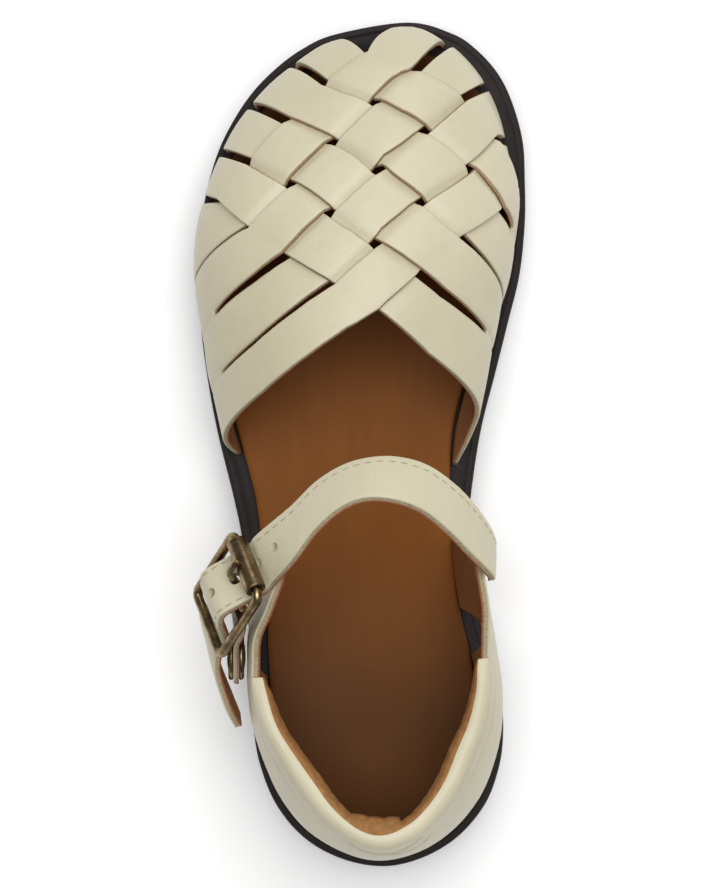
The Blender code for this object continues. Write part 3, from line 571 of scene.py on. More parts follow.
def grid_outward(place, key):
    """Direction away from the foot at a grid point."""
    i, j = key
    here = place[key]
    across = place.get((i + 1, j), here) - place.get((i - 1, j), here)
    along = place.get((i, j + 1), here) - place.get((i, j - 1), here)
    return np.cross(along, across)


def square_cells(rows, columns, solid=None):
    """Rings of grid keys for the cells that have leather."""
    return [((i, j), (i + 1, j), (i + 1, j + 1), (i, j + 1))
            for i in range(rows - 1) for j in range(columns - 1) if solid is None or solid(i, j)]


print("cells in a grid of 3 by 3 points:", len(square_cells(3, 3)))

# %% [markdown]
# The vamp is two slit panels, woven through each other by hand. One has its strips running from the inner
# side of the toe to the outer side of the foot, the other crosses it. Their crossings are measured on the
# flat pattern, and a strip lies over its neighbour where the two strip numbers add up to an even number,
# as in a basket.

# %% Table of the weave
# Woven vamp: flat pattern of the crossings, a row for each A strip, B1 to B4 across
PATTERN = (
    ((3.6, 79.8), (-5.1, 72.1), (-13.5, 63.8), (-22.8, 54.8)),
    ((13.9, 75.7), (5.5, 67.5), (-4.2, 59.1), (-14.7, 48.7)),
    ((25.0, 69.4), (15.0, 60.6), (4.6, 51.7), (-5.4, 42.1)),
    ((32.6, 59.2), (23.7, 52.5), (14.3, 44.5), (4.9, 35.6)),
)
STRIPS = 4
STRIP_EDGE = 0.43
STRIP_MEET = 0.49
LEATHER = 1.5
# Where the edges between strip ends meet the foot line, measured round it from the toe tip; the first two
# ends leave a wedge of the sole open between them
A_TOE_FEET = (-2.4, 9.7, 21.2, 34.0, 45.0)
A_SIDE_FEET = (-63.5, -83.0, -97.0, -108.0, -120.0)
B_TOE_FEET = (-15.5, -27.3, -39.7, -51.2, -61.5)
B_SIDE_FEET = (46.0, 62.0, 75.0, 84.5, 108.5)
# Slits between the strips, as shares of the way from the last crossing to the sole
A_SLITS = (0.0, 0.5, 0.62)
B_SLITS = (0.3, 0.0, 0.55)


def extended(grid):
    """Pattern with one more row and column on every side."""
    grid = np.concatenate((2 * grid[:1] - grid[1:2], grid, 2 * grid[-1:] - grid[-2:-1]), axis=0)
    return np.concatenate((2 * grid[:, :1] - grid[:, 1:2], grid, 2 * grid[:, -1:] - grid[:, -2:-1]), axis=1)


PATTERN_GRID = extended(extended(np.array(PATTERN)))


def pattern_at(a, b):
    """Flat pattern place for strip numbers that may lie between strips."""
    rows = np.array([spline(PATTERN_GRID[i], b + 1.0) for i in range(len(PATTERN_GRID))])
    return spline(rows, a + 1.0)


print("crossings:", len(PATTERN), "by", len(PATTERN[0]))

# %% [markdown]
# A strip rises over one neighbour and dips under the next, so its height follows a wave along it that is
# flat where the strips touch and steep between them. Over a crossing the leather stands up like a small
# pillow. The panels could be bent by cloth, but the wave keeps both strips clear of each other at every
# crossing.

# %% Values of the weave
# Lines along a strip, as shares of the strips' pitch from its middle
STRIP_FRACTIONS = (-0.43, -0.385, -0.3, -0.15, 0.0, 0.15, 0.3, 0.385, 0.43)
# Rows of points before the first crossing, over the crossings and beyond the last
TOE_ROWS = 14
CORE_ROWS = 45
SIDE_ROWS = 36
# Height of a strip that lies over another, steepness of its climb and rise of its pillow
STRIP_AIR = 0.15
CLIMB = LEATHER + STRIP_AIR
STEEP = 2.6
PUFF = 0.32
PUFF_ROUND = 1.5
# Thinner edges of a strip, and the share of its end where it settles on the foot
CROWN_DROP = 0.1
SETTLE = 0.6
# Slits: shortest run to close, crease and hairline where strips touch, and how much less a face draws in
CLOSE_AT_ONCE = 0.1
CREASE = 0.5
CREASE_FADE = 3
HAIRLINE = 0.97
DRAW_LESS = 0.9
# How fast the slits of each panel close
FIRST_TAPER = 3.4
SECOND_TAPER = 1.1
print("a strip climbs", CLIMB, "mm over another")


# %% Woven panels
def weave_lift(over, strip, run):
    """Height of a strip's back over the foot: over is 1 for the first panel and -1 for the second."""
    wave = over * math.cos(math.pi * (run - strip))
    share = 0.5 + 0.5 * math.sin(math.pi / 2 * min(max(STEEP * wave, -1.0), 1.0))
    return CLIMB * share + PUFF * max(wave, 0.0) ** PUFF_ROUND


def slit_beside(strip, fraction, slits):
    """Length of the slit on a strip line's side, or None at the border of the panel."""
    gap = strip - 1 if fraction > 0 else strip - 2
    return slits[gap] if 0 <= gap < len(slits) else None


def woven_panel(name, over, at, toe_feet, side_feet, slits, taper):
    """One slit panel: strips joined beyond the ends of their slits. A bigger taper closes them faster."""
    lines = [(strip, fraction) for strip in range(1, STRIPS + 1) for fraction in STRIP_FRACTIONS]
    gaps = np.arange(STRIPS + 1) + 0.5
    first = 1.0 - STRIP_EDGE
    last = STRIPS + STRIP_EDGE
    runs = [(first, 1.0 - k / TOE_ROWS, True) for k in range(TOE_ROWS)]
    runs += [(run, 0.0, True) for run in np.linspace(first, last, CORE_ROWS)]
    runs += [(last, (k + 1) / SIDE_ROWS, False) for k in range(SIDE_ROWS)]
    foot = {}
    lift = {}
    thick = {}
    draw = {}
    for i, (strip, fraction) in enumerate(lines):
        slit = slit_beside(strip, fraction, slits)
        for j, (run, step, toe) in enumerate(runs):
            start = at(strip + fraction, run)
            closed = 0.0
            shut = 0.0
            if not toe:
                closed = step if slit is None else min(step / max(slit, CLOSE_AT_ONCE), 1.0)
                shut = 1.0 - (1.0 - closed) ** taper
            value = strip + fraction * (1.0 + (STRIP_MEET / STRIP_EDGE - 1.0) * shut)
            end = pattern_end(np.interp(value, gaps, toe_feet if toe else side_feet))
            foot[i, j] = from_pattern(start * (1.0 - step) + end * step)
            fade = max(0.0, 1.0 - step / SETTLE)
            lift[i, j] = weave_lift(over, strip, run) * fade * fade * (3.0 - 2.0 * fade)
            edge = abs(fraction) / STRIP_EDGE
            joint = (1.0 - step * step) * shut ** CREASE_FADE if edge == 1.0 and slit else 0.0
            thick[i, j] = LEATHER * (1.0 - CROWN_DROP * edge ** 2) - CREASE * joint
            draw[i, j] = 1.0 if slit is None else 1.0 - DRAW_LESS * shut
    outward = {}
    place = {}
    for key in foot:
        direction = grid_outward(foot, key) * over
        if runs[key[1]][1] == 1.0:
            direction[2] = 0.0
        outward[key] = unit(direction)
        place[key] = foot[key] + outward[key] * lift[key]
    columns = len(STRIP_FRACTIONS)

    def solid(i, j):
        if i % columns != columns - 1:
            return True
        run, step, toe = runs[j + 1]
        return not toe and step > (slits[i // columns] or HAIRLINE)

    return leather(name, square_cells(len(lines), len(runs), solid), place, outward, thick, draw=draw)


vamp_first = woven_panel("vamp_first_panel", 1, pattern_at, A_TOE_FEET, A_SIDE_FEET, A_SLITS,
                         FIRST_TAPER)
vamp_second = woven_panel("vamp_second_panel", -1, lambda line, run: pattern_at(run, line),
                          B_TOE_FEET, B_SIDE_FEET, B_SLITS, SECOND_TAPER)
for made in (vamp_first, vamp_second):
    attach(made, "root")
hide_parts("vamp")
print("woven panels:", len(vamp_first.data.polygons), len(vamp_second.data.polygons), "faces")

# %% [markdown]
# The sole is one dark rubber shape with a step along its side and a flat rim that the upper stands on. It
# is a stack of rings: each ring is the outline moved inwards by an inset and set at a height. Rings keep a
# moulded edge even all the way round, where a bevel would pinch at the toe and the heel.

# %% Rings round the sole
FINE_STEPS = 8
# Rings from the tread round the edge to the top: inset, share of the height, offset
SOLE_RINGS = (
    (6.0, 0.0, 0.0), (1.9, 0.0, 0.0), (1.5, 0.0, 0.06), (0.95, 0.0, 0.35), (0.6, 0.0, 0.75),
    (0.5, 0.0, 1.2), (0.5, 0.3, 0.0), (0.5, 0.55, -0.2), (0.62, 0.55, 0.1), (1.0, 0.55, 0.32),
    (1.0, 0.55, 0.48), (0.6, 0.55, 0.68), (0.12, 0.55, 0.85), (0.0, 0.55, 1.1), (0.0, 0.8, 0.0),
    (0.0, 1.0, -1.1), (0.06, 1.0, -0.75), (0.28, 1.0, -0.3), (0.62, 1.0, -0.07), (1.0, 1.0, 0.0),
    (1.55, 1.0, 0.0), (1.75, 1.0, -0.2), (1.95, 1.0, -0.2), (2.15, 1.0, 0.0), (4.0, 1.0, 0.0),
    (6.0, 1.0, 0.0),
)


def skin(rings, closed=False):
    """Points and faces of a skin through rings of points; a closed one joins the last ring to the first."""
    count = len(rings[0])
    points = [tuple(p) for ring in rings for p in ring]
    faces = []
    for i in range(len(rings) if closed else len(rings) - 1):
        j = (i + 1) % len(rings)
        for k in range(count):
            m = (k + 1) % count
            faces.append((i * count + k, i * count + m, j * count + m, j * count + k))
    return points, faces


def ring_stack(name, rings):
    """Closed shape from rings round the shoe; the first and last ring are closed across it."""
    places = [i / FINE_STEPS for i in range(LAST_ROW * FINE_STEPS + 1)]
    loop = [(-1, k) for k in places] + [(1, k) for k in places[-2:0:-1]]
    points, faces = skin([[ring(side, k) for side, k in loop] for ring in rings])
    count = len(loop)
    half = len(places) - 1
    for i, turn in ((0, -1), (len(rings) - 1, 1)):
        start = i * count
        for k in range(half):
            quad = [start + k, start + k + 1, start + (count - k - 1) % count, start + (count - k) % count]
            ring = []
            for corner in quad:
                if corner not in ring:
                    ring.append(corner)
            faces.append(ring[::turn])
    return smooth(mesh_object(name, points, faces))


def sole_ring(inset, share, offset):
    """Ring of the sole as a function of side and place."""
    def ring(side, k):
        x, y = edge_point(side, k, inset)
        low = sole_bottom(y)
        return (x, y, low + (sole_top(y) - low) * share + offset)
    return ring


outsole = ring_stack("outsole_moulded", [sole_ring(*row) for row in SOLE_RINGS])
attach(outsole, "root")
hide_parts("outsole")
print("sole:", len(outsole.data.polygons), "faces")

# %% [markdown]
# The footbed is a tan leather board that lies inside the rim. Its edge is rounded over and its face dips a
# little towards the middle, as a pressed footbed does. It could be cut out of the sole, but rings of its
# own give it an edge of its own.

# %% Footbed
INSOLE_CLEAR = 0.45
# Wider inner side beside the inner leg: middle, half length and width
INSOLE_EASE = (-26.0, 30.0, 0.9)
# Toe end set back, so that the sole shows between the first two strips: start, end and amount
INSOLE_TOE = (80.0, 92.0, 2.0)
# Rings from the back to the face: inset, height
INSOLE_RINGS = (
    (4.0, 0.0), (0.2, 0.0), (0.0, 0.2), (0.0, 1.6), (0.1, 2.0), (0.36, 2.28), (0.8, 2.4),
    (1.6, 2.42), (2.8, 2.38), (4.2, 2.3), (5.6, 2.25),
)


def insole_ease(side, y):
    """How much wider than the even rim the footbed is: more on the inner side, set back at the toe."""
    middle, half, width = INSOLE_EASE
    share = max(1.0 - ((y - middle) / half) ** 2, 0.0) if side > 0 else 0.0
    start, end, back = INSOLE_TOE
    return width * share * share - back * min(max((y - start) / (end - start), 0.0), 1.0)


def insole_ring(inset, height):
    """Ring of the footbed as a function of side and place."""
    def ring(side, k):
        edge = rim(side, k) + INSOLE_CLEAR - insole_ease(side, section(k)["y"])
        x, y = edge_point(side, k, edge + inset)
        return (x, y, sole_top(y) + GAP + height)
    return ring


insole = ring_stack("footbed_leather", [insole_ring(*row) for row in INSOLE_RINGS])
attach(insole, "root")
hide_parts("insole")
print("footbed:", len(insole.data.polygons), "faces")

# %% [markdown]
# The heel counter and the two legs in front of it are one piece of leather that stands on the rim. Its
# table gives the foot of the wall and the top edge, from the outer leg round the heel to the inner leg.

# %% Table of the heel counter
# Heel counter and wings, from the lateral to the medial wing
# Columns: side, foot_y on the sole, top_x, top_y and top_z of the inner top edge, outward bulge
QUARTER_ROWS = (
    (-1, -21.5, -17.0, -20.5, 53.0, 0.8),
    (-1, -28.0, -13.8, -26.0, 57.0, 1.2),
    (-1, -36.0, -17.0, -36.0, 54.0, 1.8),
    (-1, -42.5, -19.8, -42.4, 50.5, 1.8),
    (-1, -48.5, -20.3, -48.0, 48.2, 1.8),
    (-1, -55.0, -20.2, -54.2, 47.2, 1.9),
    (-1, -63.0, -18.2, -61.6, 47.3, 2.1),
    (-1, -71.0, -14.2, -68.6, 48.2, 2.1),
    (-1, -78.5, -10.0, -74.8, 49.5, 2.1),
    (-1, -85.0, -5.4, -80.4, 51.0, 2.0),
    (-1, -89.3, 0.9, -85.0, 52.4, 1.8),
    (0, -90.6, 6.9, -86.4, 53.0, 1.7),
    (1, -88.6, 13.0, -84.2, 52.4, 1.8),
    (1, -84.0, 17.6, -79.8, 51.2, 2.1),
    (1, -77.5, 21.7, -73.8, 49.6, 2.5),
    (1, -70.5, 24.8, -66.8, 48.4, 2.8),
    (1, -63.0, 27.0, -61.0, 47.4, 3.0),
    (1, -55.0, 28.3, -53.5, 47.0, 3.0),
    (1, -48.0, 27.9, -46.8, 47.6, 3.0),
    (1, -42.0, 28.0, -40.8, 49.2, 2.6),
    (1, -36.0, 28.0, -35.4, 50.8, 1.8),
    (1, -28.5, 26.9, -28.5, 51.6, 0.8),
    (1, -21.5, 25.2, -21.5, 48.6, 0.6),
)
QUARTER_THICK = 1.8
HEEL_SAMPLES = 160
HEEL_STEP = 0.05


def heel_foot(side, y):
    """Inside of the upper on the sole for a place along the heel."""
    if side == 0:
        return edge_point(1, LAST_ROW, rim(1, LAST_ROW))
    places = np.linspace(LAST_ROW, LAST_ROW / 2, HEEL_SAMPLES)
    line = np.array([edge_point(side, k, rim(side, k)) for k in places])
    return np.array((np.interp(y, line[:, 1], line[:, 0]), y))


QUARTER_TABLE = np.array([(*heel_foot(row[0], row[1]), *row[2:]) for row in QUARTER_ROWS])


def quarter_inner(place, level):
    """Point of the inside of the heel counter or a wing."""
    foot_x, foot_y, top_x, top_y, top_z, bulge = spline(QUARTER_TABLE, place)
    low = sole_top(foot_y) + GAP
    outward = quarter_outward(place)
    swell = bulge * math.sin(math.pi * min(max(level, 0.0), 1.0))
    x = foot_x + (top_x - foot_x) * level + outward[0] * swell
    y = foot_y + (top_y - foot_y) * level + outward[1] * swell
    return np.array((x, y, low + (top_z - low) * level))


def quarter_outward(place):
    """Level direction away from the foot."""
    last = len(QUARTER_TABLE) - 1 - FLAT
    ahead = spline(QUARTER_TABLE, min(place + HEEL_STEP, last))
    behind = spline(QUARTER_TABLE, max(place - HEEL_STEP, 0.0))
    run = ahead - behind
    direction = np.array((run[0] + run[2], run[1] + run[3], 0.0))
    direction = direction / np.linalg.norm(direction)
    return np.array((direction[1], -direction[0], 0.0))


print("counter rows:", len(QUARTER_TABLE))

# %% [markdown]
# A three-cornered opening on each side parts the leg from the counter. The grid opens there like a slit
# that is pulled apart at its foot, so that the cut edge stays clean without a boolean.

# %% Heel counter and legs
COUNTER_STEPS = 8
COUNTER_LEVELS = 72
# Openings: half width in table rows by height, their places, reach of the pull on the grid, least half width
# and how near a line of the grid may lie
OPENING_HEIGHTS = (12.0, 18.0, 24.0, 28.0, 31.0, 32.0)
OPENING_HALVES = (0.97, 0.80, 0.58, 0.36, 0.12, 0.0)
OPENING_PLACES = (3.72, 19.0)
OPENING_PULL = 2.2
OPENING_MIN = 0.012
OPENING_CLEAR = 0.06
# Creases: middle and half length in table rows, level, upturn of the ends, half width in level, depth
COUNTER_CREASES = (
    (11.0, 1.3, 0.85, 0.12, 0.017, 1.2),
    (11.7, 0.8, 0.76, 0.13, 0.015, 0.9),
    (7.0, 2.4, 0.87, 0.03, 0.02, 0.25),
    (15.6, 2.6, 0.86, 0.04, 0.018, 0.4),
)


def bell(value, middle, width):
    """1 at the middle, falling softly to almost nothing at twice the width."""
    return math.exp(-((value - middle) / width) ** 2)


def counter_line(line, cut_side, height):
    """Place of a grid line that gives way to the openings."""
    for middle in OPENING_PLACES:
        half = max(float(np.interp(height, OPENING_HEIGHTS, OPENING_HALVES)), OPENING_MIN)
        away = line - middle
        if abs(away) < OPENING_PULL:
            sign = cut_side if cut_side else (1.0 if away > 0 else -1.0)
            return middle + sign * (half + abs(away) * (OPENING_PULL - half) / OPENING_PULL)
    return line


def counter_crease(place, level):
    """Depth of the creases that the heel has pressed into the counter."""
    depth = 0.0
    for middle, half, low, sag, width, deep in COUNTER_CREASES:
        share = (place - middle) / half
        if abs(share) < 1.0:
            line = low + sag * share * share
            depth += deep * (1.0 - share * share) * bell(level, line, width)
    return depth


def build_counter():
    """Counter and legs as one leather panel that is open at the two cut-outs."""
    last = len(QUARTER_TABLE) - 1 - FLAT
    lines = [(k, 0.0) for k in np.linspace(0.0, last, (len(QUARTER_TABLE) - 1) * COUNTER_STEPS + 1)
             if all(abs(k - middle) > OPENING_CLEAR for middle in OPENING_PLACES)]
    for middle in OPENING_PLACES:
        lines += [(middle - FLAT, -1.0), (middle + FLAT, 1.0)]
    lines.sort()
    place = {}
    outward = {}
    thick = {}
    for i, (line, cut_side) in enumerate(lines):
        for j in range(COUNTER_LEVELS + 1):
            level = j / COUNTER_LEVELS
            height = quarter_inner(min(line, last), level)[2]
            at = min(max(counter_line(line, cut_side, height), 0.0), last)
            place[i, j] = quarter_inner(at, level)
            outward[i, j] = quarter_outward(at)
            thick[i, j] = QUARTER_THICK - counter_crease(at, level)

    def solid(i, j):
        if lines[i][1] < 0 and lines[i + 1][1] > 0:
            return quarter_inner(lines[i][0], (j + 0.5) / COUNTER_LEVELS)[2] > OPENING_HEIGHTS[-1]
        return True

    return leather("heel_counter", square_cells(len(lines), COUNTER_LEVELS + 1, solid), place, outward, thick)


counter = build_counter()
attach(counter, "root")
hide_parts("quarter")
print("counter:", len(counter.data.polygons), "faces")

# %% [markdown]
# The collar is a soft roll round the top of the heel. Its cream skin is turned over a foam pad and sewn to
# a tan lining. It is swept along the top edge with a rounded section. At the back the lining is pulled
# straight across in a few folds. The folds and a slow swell along the roll stand for the fill. They are
# made by moving points and not by a cloth run, so that the roll stays on the counter's wall.

# %% Table of the collar
# Padded collar on the inner top edge of the counter
COLLAR_START = 4.5
COLLAR_END = 18.0
COLLAR_TAPER = 1.6
COLLAR_END_SIZE = 0.4
COLLAR_SEAM = 0.35
COLLAR_SEAT = 0.5
# Section of the collar: inward, upward
COLLAR_SECTION = (
    (0.35, -14.0), (0.35, -6.0), (0.35, 0.4), (-1.7, 0.4), (-1.6, 1.5), (-0.8, 2.5), (0.7, 2.9),
    (2.1, 2.3), (2.8, 0.6), (3.5, -3.0), (3.9, -7.0), (3.0, -11.5), (1.2, -14.0),
)
COLLAR_RINGS = 260
COLLAR_POINTS = 56
# Corner of the section where the lining starts, and the rounding of the two ends
LINING_FROM = 6.7
END_ROUND = 0.7
END_DROP = 0.8
# Slow swell along the roll
SWELL_SIZE = 0.18
SWELL_TURNS = 23.0
SWELL_START = 2.0
SWELL_AT = 1.5
SWELL_SPREAD = 3.0
# Fuller lining on both sides of the heel
BULGE = 0.9
BULGE_PLACES = (0.27, 0.73)
BULGE_WIDTH = 0.15
BULGE_AT = -1.0
BULGE_SPREAD = 4.0
# Small gathers of the lining, not quite even
GATHERS = 26
GATHER = 0.07
GATHER_DRIFT = 1.9
DRIFT_TURNS = 19.0
GATHER_AT = -3.0
GATHER_SPREAD = 4.0
# Lining pulled straight across the back of the heel: middle, half width, slant, softness, folds and lean
BOW_X = 5.1
BOW_Y = -80.9
BOW_HALF = 5.0
BOW_SLANT = -0.07
BOW_STEEP = 2.6
BOW_SOFT = 0.35
BOW_FOLDS = ((3.4, 0.35), (5.0, 0.25), (6.6, 0.45))
FOLD_WIDTH = 0.85
BOW_LEAN = 0.3
LEAN_FROM = 4.0
BOW_TOP = 2.4
EXP_LIMIT = 60.0
print("corners of the collar's section:", len(COLLAR_SECTION))


# %% Section, fill and folds of the collar
def collar_section(turn):
    """Point of the closed collar section: turn runs from 0 to the number of corners."""
    corners = np.array(COLLAR_SECTION)
    closed = np.concatenate((corners[-1:], corners, corners[:2]))
    return spline(closed, turn + 1.0)


def bow_front(x, up):
    """How far forward the lining is pulled straight at the back of the heel."""
    aside = max(abs(x - BOW_X) - BOW_HALF, 0.0)
    folds = sum(deep * bell(x, at, FOLD_WIDTH) for at, deep in BOW_FOLDS)
    lean = BOW_LEAN * max(-up - LEAN_FROM, 0.0)
    return BOW_Y + BOW_SLANT * (x - BOW_X) - BOW_STEEP * aside - folds - lean


def collar_size(place):
    """Share of the full section, smaller towards the two ends."""
    near = min(place - COLLAR_START, COLLAR_END - place)
    grown = math.sin(min(near / COLLAR_TAPER, 1.0) * math.pi / 2)
    tip = max(1.0 - near / END_ROUND, 0.0)
    return (COLLAR_END_SIZE + (1.0 - COLLAR_END_SIZE) * grown) * math.sqrt(1.0 - END_DROP * tip * tip)


def collar_fill(along, up, inside):
    """How far the fill pushes the skin inwards: gathers, a slow swell and the fuller sides."""
    fold = math.sin(2 * math.pi * along * GATHERS + GATHER_DRIFT * math.sin(along * DRIFT_TURNS))
    gather = GATHER * fold * inside * bell(up, GATHER_AT, GATHER_SPREAD)
    swell = SWELL_SIZE * math.sin(along * SWELL_TURNS + SWELL_START) * bell(up, SWELL_AT, SWELL_SPREAD)
    full = sum(bell(along, at, BULGE_WIDTH) for at in BULGE_PLACES)
    swell += BULGE * full * inside * bell(up, BULGE_AT, BULGE_SPREAD)
    return gather + swell


print("size of the collar's ends:", round(collar_size(COLLAR_START), 2))


# %% Padded collar
def capped(rings):
    """Skin through rings with a flat face at each end."""
    points, faces = skin(rings)
    count = len(rings[0])
    faces += [tuple(range(count))[::-1], tuple(range(len(points) - count, len(points)))]
    return points, faces


def build_collar():
    """Roll swept along the top edge; each point keeps whether it is lining."""
    rings = []
    lining = []
    for place in np.linspace(COLLAR_START, COLLAR_END, COLLAR_RINGS):
        outward = quarter_outward(place)
        top = quarter_inner(place, 1.0)
        height = top[2] - quarter_inner(place, 0.0)[2]
        size = collar_size(place)
        along = (place - COLLAR_START) / (COLLAR_END - COLLAR_START)
        ring = []
        for turn in np.arange(COLLAR_POINTS) * len(COLLAR_SECTION) / COLLAR_POINTS:
            inward, up = collar_section(turn)
            inside = 1.0 if turn > LINING_FROM else 0.0
            if inward > COLLAR_SEAM:
                inward = COLLAR_SEAM + (inward - COLLAR_SEAM) * size + collar_fill(along, up, inside) * size
            if abs(up) > COLLAR_SEAT:
                up = up * size
            wall = quarter_inner(place, 1.0 + min(up, 0.0) / height)
            x = wall[0] - outward[0] * inward
            y = wall[1] - outward[1] * inward
            if inside:
                ahead = min((bow_front(x, up) - y) / BOW_SOFT, EXP_LIMIT)
                y += BOW_SOFT * math.log1p(math.exp(ahead)) * min((BOW_TOP - up) / BOW_TOP, 1.0)
            ring.append((x, y, top[2] + up))
            lining.append(inside)
        rings.append(ring)
    made = smooth(mesh_object("heel_collar", *capped(rings)))
    keep_values(made, lining=lining)
    return made


collar = build_collar()
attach(collar, "root")
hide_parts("collar")
print("collar:", len(collar.data.polygons), "faces")

# %% [markdown]
# The ankle strap runs from the inner leg over the instep to the buckle on the outer leg, through it and on
# to a free tail. Its rows give both edges of the outer face; inside the buckle they follow the buckle's
# own axes.

# %% Table of the buckle and strap
# Buckle: centre, direction across the strap and direction along it
BUCKLE_CENTRE = (-27.5, -33.0, 48.1)
BUCKLE_ACROSS = (0.35, -0.80, 0.49)
BUCKLE_ALONG = (-0.40, -0.64, -0.66)
FRAME_HALF_WIDTH = 8.5
FRAME_HALF_LENGTH = 11.0
FRAME_CORNER = 1.8
CORNER_STEPS = 8
WIRE_RADIUS = 1.1
WIRE_SIDES = 20
BAR_RADIUS = 0.8
BAR_DROP = -1.1
BAR_SHOULDER = 1.9
ROLLER_RADIUS = 2.3
ROLLER_LENGTH = 13.0
ROLLER_SIDES = 32
PRONG_RADIUS = 0.65
PRONG_RING = 1.7
PRONG_RING_TURN = (400.0, 340.0, 280.0, 230.0, 180.0)
PRONG_PATH = ((-3.9, -1.0), (-6.0, 0.8), (-7.6, 2.5), (-9.2, 3.2), (-11.0, 3.3), (-13.2, 3.1))
# Ankle strap from the medial end to the buckle, by the two edges of its outer face
# Columns: front_x, front_y, front_z, rear_x, rear_y, rear_z
STRAP_ROWS = (
    (31.3, -21.6, 37.6, 31.2, -29.8, 47.4),
    (31.1, -20.0, 43.0, 31.0, -28.6, 52.4),
    (29.6, -16.8, 47.6, 28.8, -26.0, 56.6),
    (26.6, -12.6, 51.8, 25.4, -22.6, 60.0),
    (22.9, -8.7, 55.2, 21.8, -18.8, 63.2),
    (17.6, -4.7, 58.4, 16.2, -14.2, 67.2),
    (12.3, -2.7, 60.2, 10.1, -11.8, 69.4),
    (6.3, -2.1, 61.0, 3.2, -11.4, 70.2),
    (-0.9, -3.7, 60.6, -2.6, -13.6, 69.0),
    (-7.7, -7.6, 59.2, -8.2, -18.6, 66.4),
    (-13.8, -13.6, 57.2, -12.8, -24.6, 63.6),
)
# Strap through the buckle: along it, above its plane
STRAP_THROUGH = (
    (-13.9, -4.0), (-11.0, -3.7), (-8.2, -2.4), (-5.9, 0.2), (-1.2, 3.7), (3.4, 2.6), (7.6, -0.4),
    (11.0, -2.6), (14.6, -1.9),
)
THROUGH_SHARE = 0.94
# Tail behind the buckle
# Columns: x, y, z, across_x, across_y, across_z, share of the width
TAIL_ROWS = (
    (-32.6, -46.4, 34.3, 0.22, -0.62, 0.75, 0.94),
    (-31.2, -52.0, 31.2, 0.15, -0.45, 0.88, 0.94),
    (-29.3, -57.4, 28.9, 0.10, -0.35, 0.93, 0.9),
    (-27.3, -62.0, 27.3, 0.10, -0.35, 0.93, 0.55),
)
STRAP_WIDTH = 13.0
STRAP_THICK = 1.8
ACROSS = unit(BUCKLE_ACROSS)
ALONG = unit(np.array(BUCKLE_ALONG) - ACROSS * np.dot(ACROSS, BUCKLE_ALONG))
ABOVE = np.cross(ALONG, ACROSS)


def on_buckle(across, along, above):
    """Point in the axes of the buckle."""
    return np.array(BUCKLE_CENTRE) + ACROSS * across + ALONG * along + ABOVE * above


def strap_table():
    """Centre of the outer face, direction of the width and share of the width for each row of the strap."""
    rows = []
    for row in np.array(STRAP_ROWS):
        rows.append((*((row[:3] + row[3:]) / 2), *unit(row[3:] - row[:3]), 1.0))
    for along, above in STRAP_THROUGH:
        rows.append((*on_buckle(0.0, along, above + STRAP_THICK / 2), *ACROSS, THROUGH_SHARE))
    rows.extend(TAIL_ROWS)
    return np.array(rows)


STRAP_TABLE = strap_table()
print("strap rows:", len(STRAP_TABLE))

# %% [markdown]
# The strap is a band of cut leather like the strips, with a row of stitches along its front edge. It is
# swept through the rows. A curve with a flat bevel could twist on its way; the band's own direction across
# keeps it from that.

# %% Ankle strap
STRAP_FINE = 9
BAND_STEP = 0.05
# Lines along a band, as shares of its width from its middle
BAND_LINES = (-0.5, -0.455, -0.38, -0.2, 0.0, 0.2, 0.38, 0.455, 0.5)
STRAP_CROWN = 0.18


def band_frame(table, place):
    """Centre of the outer face, direction across, direction out and width share of a band."""
    last = len(table) - 1 - FLAT
    row = spline(table, min(place, last))
    run = spline(table, min(place + BAND_STEP, last))[:3] - spline(table, max(place - BAND_STEP, 0.0))[:3]
    across = unit(row[3:6])
    return row[:3], across, unit(np.cross(run, across)), row[6]


def build_band(name, table, width, thick, fine, crown):
    """Leather band swept through the rows of a table."""
    rows = (len(table) - 1) * fine + 1
    place = {}
    outward = {}
    wall = {}
    for i in range(rows):
        centre, across, above, share = band_frame(table, i / fine)
        for j, line in enumerate(BAND_LINES):
            wall[i, j] = thick - crown * (2 * line) ** 2
            place[i, j] = centre + across * line * width * share - above * thick
            outward[i, j] = above
    return leather(name, square_cells(rows, len(BAND_LINES)), place, outward, wall)


strap = build_band("ankle_strap_leather", STRAP_TABLE, STRAP_WIDTH, STRAP_THICK, STRAP_FINE, STRAP_CROWN)
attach(strap, "root")
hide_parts("ankle_strap")
print("strap:", len(strap.data.polygons), "faces")

# %% [markdown]
# The chape is the short leather loop that hangs the buckle on the outer leg. It turns round the buckle's
# bar and lies flat between the two halves of the press stud. It is swept like the strap, so that its edges
# look cut from the same hide.

# %% Chape
CHAPE_WIDTH = 11.0
CHAPE_THICK = 1.1
# Loop round the bar in degrees, run down from it, and seat in the stud as shares of radius and width
CHAPE_TURN = (180.0, 208.0, 240.0, 275.0)
CHAPE_LOOP = 1.6
CHAPE_RUN = ((3.2, -3.6), (7.0, -5.0))
CHAPE_SEAT = ((-1.05, 1.0), (0.0, 1.0), (0.75, 0.85), (1.1, 0.45))
# Press stud, with its layers as spans along its axis
STUD_CENTRE = (-24.3, -46.9, 34.8)
STUD_AXIS = (-1.0, 0.0, 0.06)
STUD_RADIUS = 5.3
SOCKET_SPAN = (0.0, 1.2)
CHAPE_SPAN = (1.5, 2.6)
CAP_SPAN = (2.9, 4.1)


def stud_point(distance):
    """Point on the axis of the stud."""
    return np.array(STUD_CENTRE) + unit(STUD_AXIS) * distance


